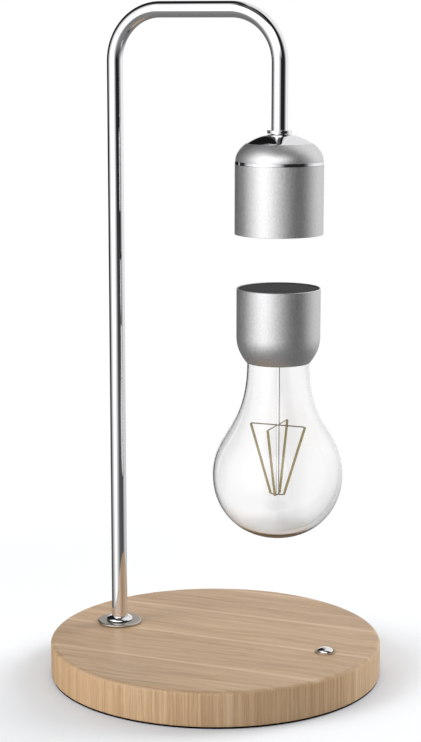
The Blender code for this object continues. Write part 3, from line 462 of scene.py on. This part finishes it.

# Closed-cell rubber foam, cut from a block: a black without gloss, dented by its cells, and darkened further
# as painted shade under the base. The cells are drawn 0.63 mm wide, about twice as coarse as real ones, so
# that they show.
cell_size = 0.625
foam, tree, shader, place = surface("closed_cell_foam_and_painted_shade", "0E0E0E", 0.9)
shader.inputs["Specular IOR Level"].default_value = 0.10
cells = node(tree, "TexVoronoi", {"Vector": place, "Scale": per_metre(cell_size)})
dent = node(tree, "Bump", {"Height": cells.outputs["Distance"], "Strength": 0.6, "Distance": 0.0001})
tree.links.new(dent.outputs[0], shader.inputs["Normal"])
dressed(pad, "stand", "anti_slip_pad", finish=foam, slot="foam")

# Arm: one steel tube, bent twice on a mandrel, then polished and chromed. It passes through the
# rosette into the base, and through the collar into the head.
low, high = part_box("arm_tube")
tube_radius = high.y
tube_sides = 64
tube_wall = 0.0012
bend_radius = 0.0300
bend_steps = 24
tip_depth = 0.0110
run_level = high.z - tube_radius
bend_level = run_level - bend_radius
head_low, head_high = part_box("head_sleeve")
head_x = (head_low.x + head_high.x) / 2
head_radius = (head_high.x - head_low.x) / 2
tube_foot = low.z
tube_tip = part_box("head_dome")[1].z - tip_depth
straights = [(0, 0, bend_level - tube_foot), (head_x - post_x - 2 * bend_radius, 0, 0)]
bend_centres = [(post_x + bend_radius, 0, bend_level), (head_x - bend_radius, 0, bend_level)]
bpy.ops.object.select_all(action="DESELECT")
bpy.ops.mesh.primitive_circle_add(vertices=tube_sides, radius=tube_radius, location=(post_x, 0, tube_foot))
tube = bpy.context.object
tube.name = "arm_tube_chromed"
tube.data.name = tube.name
bpy.ops.object.mode_set(mode="EDIT")
bpy.ops.mesh.select_all(action="SELECT")
for straight, bend_centre in zip(straights, bend_centres):
    bpy.ops.mesh.extrude_region_move(TRANSFORM_OT_translate={"value": straight})
    bpy.ops.mesh.spin(steps=bend_steps, angle=math.pi / 2, center=bend_centre, axis=(0, -1, 0))
bpy.ops.mesh.extrude_region_move(TRANSFORM_OT_translate={"value": (0, 0, tube_tip - bend_level)})
bpy.ops.mesh.select_all(action="SELECT")
bpy.ops.mesh.remove_doubles(threshold=weld_distance)
bpy.ops.mesh.normals_make_consistent(inside=False)
bpy.ops.object.mode_set(mode="OBJECT")
bpy.ops.object.transform_apply(location=True, rotation=True, scale=True)
wall = tube.modifiers.new("wall", "SOLIDIFY")
wall.thickness = tube_wall
wall.offset = -1
bpy.ops.object.modifier_apply(modifier=wall.name)
bpy.ops.object.shade_smooth_by_angle(angle=smooth_angle)

# Chrome plate, polished on a buffing wheel: nearly a mirror. The wheel leaves broad marks, 11 mm wide,
# that only soften it a little.
buffing_size = 11.1111
chrome, tree, shader, place = surface("polished_chrome", "E9E9EB", 0.05, 1.0)
buffing = node(tree, "TexNoise", {"Vector": place, "Scale": per_metre(buffing_size), "Detail": 2.0})
haze = node(tree, "MapRange", {"Value": buffing.outputs[0], 3: 0.035, 4: 0.06})
tree.links.new(haze.outputs[0], shader.inputs["Roughness"])
dressed(tube, "stand", "arm_tube", finish=chrome, slot="chrome")

# Foot of the post: a flat rosette pressed from steel and chromed, lying on the wood, and a turned
# bead with a rounded shoulder that sits on it round the tube.
low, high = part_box("post_rosette")
tube_gap = 0.0001
tube_hole = tube_radius + tube_gap
rosette_radius = (high.x - low.x) / 2
rosette_bevel = 0.0005
rosette_edge = 0.0002
outline = [(tube_hole, low.z), (rosette_radius, low.z), (rosette_radius, high.z - rosette_bevel)]
outline += [(rosette_radius - rosette_bevel, high.z), (tube_hole, high.z), (tube_hole, low.z)]
rosette = turned("post_rosette_chromed", outline, post_x, edge=rosette_edge)

# Chrome plate over brushed steel: the brush marks blur what it mirrors to a soft grey, and its colour is
# tinted warm as a painted reflection of the oak. Real brush marks are some 0.1 mm wide, and are drawn as
# specks of 0.56 mm, so that they show.
brushing_size = 0.555556
oak_tinted_chrome, tree, shader, place = surface("brushed_chrome_painted_oak_reflection", "C6C0B8", 0.36, 1.0)
brushing = node(tree, "TexNoise", {"Vector": place, "Scale": per_metre(brushing_size), "Detail": 2.0})
haze = node(tree, "MapRange", {"Value": brushing.outputs[0], 3: 0.30, 4: 0.46})
tree.links.new(haze.outputs[0], shader.inputs["Roughness"])
dressed(rosette, "stand", "post_rosette", finish=oak_tinted_chrome, slot="chrome")
low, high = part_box("post_bead")
bead_radius = (high.x - low.x) / 2
bead_bow = (high.z - low.z) * 0.5
bead_bevel = 0.0003


def bow(start, start_handle, end_handle, end, points=14):
    """Points on a curve between two (radius, height) points, whose handles are offsets from its ends."""
    first = Vector((*start, 0))
    last = Vector((*end, 0))
    leaving = first + Vector((*start_handle, 0))
    arriving = last + Vector((*end_handle, 0))
    return [tuple(point[:2]) for point in interpolate_bezier(first, leaving, arriving, last, points)]


outline = bow((tube_hole, high.z), (bead_bow, 0), (0, bead_bow), (bead_radius, low.z + bead_bevel))
outline += [(bead_radius - bead_bevel, low.z), (tube_hole, low.z), (tube_hole, high.z)]
bead = turned("post_bead_chromed", outline, post_x)
dressed(bead, "stand", "post_bead", finish=chrome, slot="chrome")

# Push button: a domed cap, spun from brass and chromed, in a thin flanged sleeve that is pressed into
# the wood. The cap rises just above the flange and travels 1.2 mm.
low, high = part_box("button_bezel")
bezel_radius = (high.x - low.x) / 2
cap_radius = 0.0047
guide_radius = cap_radius + 0.0003
guide_level = high.z - 0.0021
flange_edge = 0.00015
flange_level = high.z - 0.0003
bezel_outer = 0.0057
bezel_inner = 0.0054
button_sides = 96
outline = [(guide_radius, high.z), (bezel_radius - flange_edge, high.z), (bezel_radius, flange_level)]
outline += [(bezel_outer, flange_level), (bezel_outer, low.z), (bezel_inner, low.z)]
outline += [(bezel_inner, guide_level), (guide_radius, guide_level), (guide_radius, high.z)]
bezel = turned("button_bezel_satin", outline, button_x, sides=button_sides)

# Nickel, brushed round: a dull ring whose colour is tinted warm as a painted reflection of the oak about it.
# Its brush marks are some 0.1 mm wide in truth, and are drawn as specks of 0.67 mm, so that they show.
ring_brushing_size = 0.666667
oak_tinted_nickel, tree, shader, place = surface("nickel_painted_oak_reflection", "CDB59B", 0.50, 1.0)
brushing = node(tree, "TexNoise", {"Vector": place, "Scale": per_metre(ring_brushing_size), "Detail": 2.0})
haze = node(tree, "MapRange", {"Value": brushing.outputs[0], 3: 0.44, 4: 0.58})
tree.links.new(haze.outputs[0], shader.inputs["Roughness"])
dressed(bezel, "stand", "button_bezel", finish=oak_tinted_nickel, slot="chrome")
low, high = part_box("button_cap")
cap_rise = 0.0008
cap_edge = wood_top + cap_rise
skirt_radius = 0.0051
skirt_level = low.z + 0.0010
bore_radius = 0.0031
bore_level = high.z - 0.0024
crown_handle = (cap_radius * 0.75, 0)
side_handle = (0, (high.z - cap_edge) * 0.4)
outline = bow((0, high.z), crown_handle, side_handle, (cap_radius, cap_edge))
outline += [(cap_radius, skirt_level), (skirt_radius, skirt_level), (skirt_radius, low.z)]
outline += [(bore_radius, low.z), (bore_radius, bore_level), (0, bore_level)]
cap = turned("button_cap_chromed", outline, button_x, sides=button_sides)
dressed(cap, "button", "button_cap", finish=chrome, slot="chrome")

# Return spring: steel wire wound into four turns and zinc plated. It stands on the switch inside the
# cap, and is pressed shorter as the cap goes down.
low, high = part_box("button_spring")
wire_radius = 0.00025
wire_sides = 12
coil_radius = (high.x - low.x) / 2 - wire_radius
coil_turns = 4
coil_steps = 36
coil_rise = (high.z - low.z - 2 * wire_radius) / coil_turns
coil_start = (button_x, 0, low.z + wire_radius)
wire_lean = (math.pi / 2, 0, 0)
bpy.ops.object.select_all(action="DESELECT")
bpy.ops.mesh.primitive_circle_add(vertices=wire_sides, radius=wire_radius, location=coil_start,
                                  rotation=wire_lean)
coil = bpy.context.object
coil.name = "button_spring_coil"
coil.data.name = coil.name
bpy.ops.object.mode_set(mode="EDIT")
bpy.ops.mesh.select_all(action="SELECT")
bpy.ops.transform.translate(value=(coil_radius, 0, 0))
bpy.ops.object.mode_set(mode="OBJECT")
bpy.ops.object.transform_apply(location=False, rotation=True, scale=True)
wound = coil.modifiers.new("wound", "SCREW")
wound.steps = coil_steps
wound.render_steps = coil_steps
wound.iterations = coil_turns
wound.screw_offset = coil_rise
bpy.ops.object.modifier_apply(modifier=wound.name)
bpy.ops.object.mode_set(mode="EDIT")
bpy.ops.mesh.select_all(action="SELECT")
bpy.ops.mesh.fill_holes(sides=0)
bpy.ops.mesh.normals_make_consistent(inside=False)
bpy.ops.object.mode_set(mode="OBJECT")
bpy.ops.object.transform_apply(location=True, rotation=True, scale=True)
bpy.ops.object.shade_smooth_by_angle(angle=math.radians(50))

# Spring steel wire, zinc plated in a barrel: a dull blue-grey shine with faint clouds in it. The clouds
# are drawn 1.4 mm wide, coarser than real ones, so that they show.
zinc_cloud_size = 1.42857
zinc_steel, tree, shader, place = surface("zinc_plated_wire", "A9ABAE", 0.35, 1.0)
clouds = node(tree, "TexNoise", {"Vector": place, "Scale": per_metre(zinc_cloud_size), "Detail": 3.0})
haze = node(tree, "MapRange", {"Value": clouds.outputs[0], 3: 0.28, 4: 0.42})
tree.links.new(haze.outputs[0], shader.inputs["Roughness"])
dressed(coil, "stand", "button_spring", finish=zinc_steel, slot="zinc_steel")
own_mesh(coil)

# Head: a turned aluminium dome, bead-blasted to a satin face up to its crown, which is left polished.
# A polished ring closes the seam, and a satin sleeve hangs below it. A collar holds the dome on the tube.
low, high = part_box("head_collar")
collar_radius = (high.x - low.x) / 2
collar_edge = 0.0003
collar_sides = 96
outline = [(tube_hole, low.z), (collar_radius, low.z), (collar_radius, high.z), (tube_hole, high.z)]
outline.append(outline[0])
collar = turned("head_collar_chromed", outline, head_x, sides=collar_sides, edge=collar_edge)
dressed(collar, "stand", "head_collar", finish=chrome, slot="chrome")
low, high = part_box("head_dome")
trim_low, trim_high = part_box("head_trim_ring")
dome_edge = trim_high.z + 0.0003
dome_height = high.z - dome_edge
dome_inset = 0.0003
crown_drop = 0.0002
spigot_inner = 0.0229
spigot_outer = 0.0242
hollow_edge = dome_edge + 0.0006
hollow_crown = 0.0090
crown_under = high.z - 0.0015
low_handle = (0, 0.54 * dome_height)
high_handle = (0.245 * head_radius, -0.045 * dome_height)
dome_rim = (head_radius - dome_inset, dome_edge)
dome_crown = (collar_radius, high.z - crown_drop)
outer = bow(dome_rim, low_handle, high_handle, dome_crown, 28)
hollow = bow((spigot_inner, hollow_edge), low_handle, high_handle, (hollow_crown, crown_under))
outline = [*outer, (tube_hole, high.z), (tube_hole, crown_under), *reversed(hollow)]
outline += [(spigot_inner, low.z), (spigot_outer, low.z), (spigot_outer, dome_edge), outer[0]]
dome = turned("head_dome_satin", outline, head_x)

# Aluminium, blasted with fine beads: a soft silver grey that mirrors only broad lights and darks. The
# pits are some 0.1 mm wide in truth, and are drawn 0.9 to 2 mm wide, so that they show as a faint grain.
pit_size = 0.909091
streak_size = (1.11111, 1.11111, 2.0)
satin, tree, shader, place = surface("blasted_aluminium", "E2E2E3", 0.44, 1.0)
blast = node(tree, "TexNoise", {"Vector": place, "Scale": per_metre(pit_size), "Detail": 3.0})
streak_place = node(tree, "Mapping", {0: place, 3: [per_metre(size) for size in streak_size]})
streaks = node(tree, "TexNoise", {"Vector": streak_place.outputs[0], "Scale": 1.0, "Detail": 3.0})
rough = node(tree, "Mix", {0: 0.5, 2: blast.outputs[0], 3: streaks.outputs[0]})
haze = node(tree, "MapRange", {"Value": rough.outputs[0], 1: 0.3, 2: 0.7, 3: 0.41, 4: 0.53})
satin_tones = [(0.35, linear("D9D9DB")), (0.65, linear("ECECEC"))]
tint = node(tree, "ValToRGB", {0: rough.outputs[0]}, marks=satin_tones)
tree.links.new(tint.outputs[0], shader.inputs["Base Color"])
tree.links.new(haze.outputs[0], shader.inputs["Roughness"])
pits = node(tree, "Bump", {"Height": rough.outputs[0], "Strength": 0.30, "Distance": 0.0001})
tree.links.new(pits.outputs[0], shader.inputs["Normal"])
dressed(dome, "stand", "head_dome", finish=satin, slot="satin_nickel")
dome.data.materials.append(chrome)
crown_radius = 0.0189
least_upward = 0.1
for face in dome.data.polygons:
    centre = face.center - Vector((head_x, 0, 0))
    if math.hypot(centre.x, centre.y) < crown_radius and face.normal.z > least_upward:
        face.material_index = 1
trim_radius = (trim_high.x - trim_low.x) / 2
trim_inner = 0.0245
trim_edge = 0.0001
seam = 0.00025
trim_bottom = trim_low.z - seam
trim_top = trim_high.z + seam
outline = [(trim_inner, trim_bottom), (trim_radius, trim_bottom), (trim_radius, trim_top)]
outline += [(trim_inner, trim_top), outline[0]]
trim = turned("head_trim_polished", outline, head_x, edge=trim_edge)
dressed(trim, "stand", "head_trim_ring", finish=chrome, slot="chrome")
low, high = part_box("head_sleeve")
sleeve_wall = 0.0012
sleeve_inner = head_radius - sleeve_wall
sleeve_edge = 0.00015
outline = [(sleeve_inner, low.z), (head_radius, low.z), (head_radius, high.z), (sleeve_inner, high.z)]
outline.append(outline[0])
sleeve = turned("head_sleeve_satin", outline, head_x, edge=sleeve_edge)
dressed(sleeve, "stand", "head_sleeve", finish=satin, slot="satin_nickel")

# Bulb cup: drawn from the same aluminium, blasted to the same satin, open above where a dark lid is
# pressed in, and drawn in below to the neck of the glass.
low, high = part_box("bulb_cup")
cup_radius = (high.x - low.x) / 2
cup_bottom = low.z
cup_rim = high.z
cup_wall = 0.0009
cup_inner = cup_radius - cup_wall
shoulder = 0.0155
shoulder_level = cup_bottom + shoulder
draw_in = 0.0062
neck_radius = cup_radius - draw_in
neck_gap = 0.0003
cup_mouth = neck_radius + neck_gap
mouth_bevel = 0.0005
mouth_level = cup_bottom + mouth_bevel
lip = 0.0003
upper_handle = (0, -0.42 * shoulder)
lower_handle = (0.50 * draw_in, 0.27 * shoulder)
outer_end = (cup_mouth + mouth_bevel, mouth_level)
hollow_end = (cup_mouth, mouth_level + cup_wall)
outer = bow((cup_radius, shoulder_level), upper_handle, lower_handle, outer_end, 24)
hollow = bow((cup_inner, shoulder_level), upper_handle, lower_handle, hollow_end, 16)
outline = [(cup_inner, cup_rim - lip), (cup_inner + lip, cup_rim), (cup_radius - lip, cup_rim)]
outline += [(cup_radius, cup_rim - lip), *outer, (cup_mouth, cup_bottom), *reversed(hollow)]
outline.append(outline[0])
cup = turned("bulb_cup_satin", outline, head_x)
dressed(cup, "bulb", "bulb_cup", finish=satin, slot="satin_nickel")
low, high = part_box("cup_lid")
lid_radius = (high.x - low.x) / 2
lip_level = cup_rim - 0.0002
lip_width = 0.0003
lid_level = lip_level - 0.0002
lid_flat = lid_radius - 0.0004
outline = [(0, low.z), (lid_radius, low.z), (lid_radius, lip_level), (lid_radius - lip_width, lip_level)]
outline += [(lid_flat, lid_level), (0, lid_level)]
lid = turned("cup_lid_dark", outline, head_x)

# Black ABS, moulded in a spark-eroded tool: a matt near-black with a fine grain. The grain is some
# 0.1 mm wide in truth, and is drawn 0.45 mm wide, so that it shows.
mould_grain_size = 0.454545
lid_plastic, tree, shader, place = surface("moulded_abs", "161617", 0.6)
shader.inputs["Specular IOR Level"].default_value = 0.20
mould = node(tree, "TexNoise", {"Vector": place, "Scale": per_metre(mould_grain_size), "Detail": 2.0})
fine = node(tree, "Bump", {"Height": mould.outputs[0], "Strength": 0.25, "Distance": 0.0001})
tree.links.new(fine.outputs[0], shader.inputs["Normal"])
dressed(lid, "bulb", "cup_lid", finish=lid_plastic, slot="lid_plastic")

# Glass: blown soda-lime glass, nearly round below and drawn in to a straight neck that is cemented
# into the cup. Its wall is 0.9 mm thick, and a little thicker at the bottom, where the glass gathers.
low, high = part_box("glass_bulb")
globe_radius = (high.x - low.x) / 2
glass_bottom = low.z
neck_top = high.z
glass_wall = 0.0009
gather = 0.0006
gather_height = 0.005
flat = 0.99
fullness = 0.95
globe_steps = 24
globe_turn = math.radians(17)
turn_steps = 5
globe_handle = 0.0170
neck_handle = 0.0339


def glass_outline(inset):
    """Points of the glass from its lowest point up to its neck, drawn in from the outside by inset."""
    radius = globe_radius - inset
    centre = glass_bottom + globe_radius * flat
    points = [(0, centre - radius * flat)]
    for step in range(1, globe_steps + 1):
        angle = math.pi / 2 * (1 - step / globe_steps)
        out = math.cos(angle) ** fullness
        down = math.sin(angle) ** fullness
        points.append((radius * out, centre - radius * flat * down))
    for step in range(1, turn_steps):
        angle = globe_turn * step / turn_steps
        points.append((radius * math.cos(angle), centre + radius * math.sin(angle)))
    leaving = (radius * math.cos(globe_turn), centre + radius * math.sin(globe_turn))
    handle = (-globe_handle * math.sin(globe_turn), globe_handle * math.cos(globe_turn))
    points += bow(leaving, handle, (0, -neck_handle), (neck_radius - inset, cup_bottom), 28)
    points.append((neck_radius - inset, neck_top))
    return points


hollow = []
for radius, level in glass_outline(glass_wall):
    fade = math.exp(-((level - glass_bottom) / gather_height) ** 2)
    hollow.append((radius, level + gather * fade))
globe = turned("glass_globe", glass_outline(0.0) + hollow[::-1], head_x)

# Clear soda-lime glass, blown: smooth from the flame, so it mirrors sharply and lets all light through.
# Blowing leaves swells 17 mm wide that bend what is seen through it a very little.
swell_size = 16.6667
glass, tree, shader, place = surface("blown_glass", "FFFFFF", 0.0)
shader.inputs["Transmission Weight"].default_value = 1.0
shader.inputs["IOR"].default_value = 1.5
ripple = node(tree, "TexNoise", {"Vector": place, "Scale": per_metre(swell_size), "Detail": 1.0})
swell = node(tree, "Bump", {"Height": ripple.outputs[0], "Strength": 0.05, "Distance": 0.0002})
tree.links.new(swell.outputs[0], shader.inputs["Normal"])
dressed(globe, "bulb", "glass_bulb", finish=glass, slot="clear_glass")

# Stem and filaments: a thin glass rod, flared to a disc in the neck, carries four filaments. Each is a
# strip of diodes under a round coat of golden phosphor, welded to crossed wires above and a hub below.
low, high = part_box("glass_stem")
stem_radius = 0.0011
flare_start = high.z - 0.0115
flare_radius = 0.0050
disc_radius = 0.0170
disc_bottom = high.z - 0.0015
stem_sides = 48
outline = [(0, low.z), (stem_radius, low.z), (stem_radius, flare_start), (flare_radius, disc_bottom)]
outline += [(disc_radius, disc_bottom), (disc_radius, high.z), (0, high.z)]
stem = turned("glass_stem_rod", outline, head_x, sides=stem_sides)
dressed(stem, "bulb", "glass_stem", finish=glass, slot="clear_glass")

# Phosphor in silicone, cast over the diodes: a dull warm yellow, mottled by the diodes below, which lie
# 0.83 mm apart.
diode_size = 0.833333
phosphor, tree, shader, place = surface("phosphor_coat", "D3BE7C", 0.4)
coat = node(tree, "TexNoise", {"Vector": place, "Scale": per_metre(diode_size), "Detail": 2.0})
phosphor_tones = [(0.35, linear("C4AC66")), (0.65, linear("DCC98C"))]
tone = node(tree, "ValToRGB", {0: coat.outputs[0]}, marks=phosphor_tones)
tree.links.new(tone.outputs[0], shader.inputs["Base Color"])

# Nickel wire, drawn through a die: a soft brownish shine with fine marks along it. They are some
# 0.02 mm wide in truth, and are drawn as specks of 0.33 mm, close to the least that can show.
die_mark_size = 0.333333
nickel, tree, shader, place = surface("nickel_wire", "8E8066", 0.3, 1.0)
die_marks = node(tree, "TexNoise", {"Vector": place, "Scale": per_metre(die_mark_size)})
haze = node(tree, "MapRange", {"Value": die_marks.outputs[0], 3: 0.22, 4: 0.38})
tree.links.new(haze.outputs[0], shader.inputs["Roughness"])


def rod(name, start, end, radius, sides=24):
    """A straight rod with eased ends between two points."""
    start, end = Vector(start), Vector(end)
    middle = (start + end) / 2
    lean = (end - start).to_track_quat("Z", "Y").to_euler()
    length = (end - start).length
    bpy.ops.object.select_all(action="DESELECT")
    bpy.ops.mesh.primitive_cylinder_add(vertices=sides, radius=radius, depth=length, location=middle,
                                        rotation=lean)
    piece = bpy.context.object
    piece.name = name
    piece.data.name = name
    bpy.ops.object.transform_apply(location=True, rotation=True, scale=True)
    eased = piece.modifiers.new("eased", "BEVEL")
    eased.width = radius * 0.5
    eased.segments = 2
    eased.angle_limit = math.radians(60)
    bpy.ops.object.modifier_apply(modifier=eased.name)
    bpy.ops.object.shade_smooth_by_angle(angle=math.radians(40))
    return piece


low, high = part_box("filament_1")
filament_radius = 0.00075
filament_low = low.z + 0.0006
filament_high = high.z - 0.0004
foot_reach = 0.0041
tip_reach = 0.0170
bulb_wire = 0.00038
bulb_wire_sides = 12
weld_depth = 0.0003
crossing = Vector((head_x, 0, filament_high))
hub = Vector((head_x, 0, filament_low))
wires = []
for number, angle in enumerate((3, 93, 183, 273), 1):
    outward = Vector((math.cos(math.radians(angle)), math.sin(math.radians(angle)), 0))
    foot = hub + outward * foot_reach
    tip = crossing + outward * tip_reach
    filament = rod(f"filament_rod_{number}", foot, tip, filament_radius)
    dressed(filament, "bulb", f"filament_{number}", finish=phosphor, slot="filament")
    weld = outward * weld_depth
    wires.append(rod(f"cross_wire_{number}", crossing, tip - weld, bulb_wire, sides=bulb_wire_sides))
    wires.append(rod(f"hub_wire_{number}", hub, foot - weld, bulb_wire, sides=bulb_wire_sides))
for wire in wires:
    wire.data.materials.append(nickel)
    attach(wire, "bulb")
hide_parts("filament_cross")
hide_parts("filament_hub")

# Inner pieces: plates, boards, coils and fixings, screwed or clipped inside the base, the head and the
# cup. They hardly show, so each keeps its CAD shape and takes the finish of the real thing.
steel_parts = ["base_plate", "coil_carrier", "board_capacitor"]
fixings = ["plate_screw_1", "plate_screw_2", "plate_screw_3", "switch_nut", "post_washer", "post_nut"]
fixings += ["head_lock_nut", "head_screw_1", "head_screw_2", "head_screw_3"]
iron_parts = ["ballast_weight", "magnet_core"]
boards = ["control_board", "driver_board", "sensor_board", "receiver_board"]
brass_parts = ["board_standoff_1", "board_standoff_2", "inlet_pin"]
cream_parts = ["cable_header", "driver_spacer", "coil_spool"]
black_parts = ["power_inlet", "inlet_lead", "switch_body", "switch_lead", "field_sensor"]
black_parts += ["head_face_plate", "magnet_holder", "neck_ring"]
coils = ["electromagnet_coil", "transmitter_coil", "receiver_coil"]

# Zinc plate is a dull blue-grey, iron is black with scale, solder mask is a green lacquer, turned brass
# and enamelled copper shine yellow and red-brown, moulded nylon and PVC are dull, and plated nickel is
# smooth. The last number is the width of their specks in millimetres, drawn coarser than they are.
inner_finishes = [
    ("zinc_plated_steel", "A9ABAE", 0.35, 1.0, 1.43, steel_parts + fixings),
    ("black_iron", "4A4B4D", 0.5, 1.0, 2.0, iron_parts),
    ("solder_mask", "1F5A3C", 0.45, 0.0, 1.11, boards),
    ("turned_brass", "C8A45A", 0.3, 1.0, 1.11, brass_parts),
    ("cream_nylon", "D8D3C6", 0.5, 0.0, 1.11, cream_parts),
    ("black_nylon", "202021", 0.5, 0.0, 1.11, black_parts),
    ("grey_pvc", "55565A", 0.6, 0.0, 1.11, ["arm_cable"]),
    ("enamelled_copper", "B4663A", 0.3, 1.0, 0.667, coils),
    ("nickel_plated_magnet", "8E9094", 0.18, 1.0, 1.67, ["lifting_magnet"]),
]
for name, colour, roughness, metallic, speck_size, nodes in inner_finishes:
    made, tree, shader, place = surface(name, colour, roughness, metallic)
    specks = node(tree, "TexNoise", {"Vector": place, "Scale": per_metre(speck_size), "Detail": 3.0})
    haze = node(tree, "MapRange", {"Value": specks.outputs[0], 3: roughness * 0.8, 4: roughness * 1.2})
    tree.links.new(haze.outputs[0], shader.inputs["Roughness"])
    for part in nodes:
        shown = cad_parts[part].data.materials
        shown.clear()
        shown.append(made)
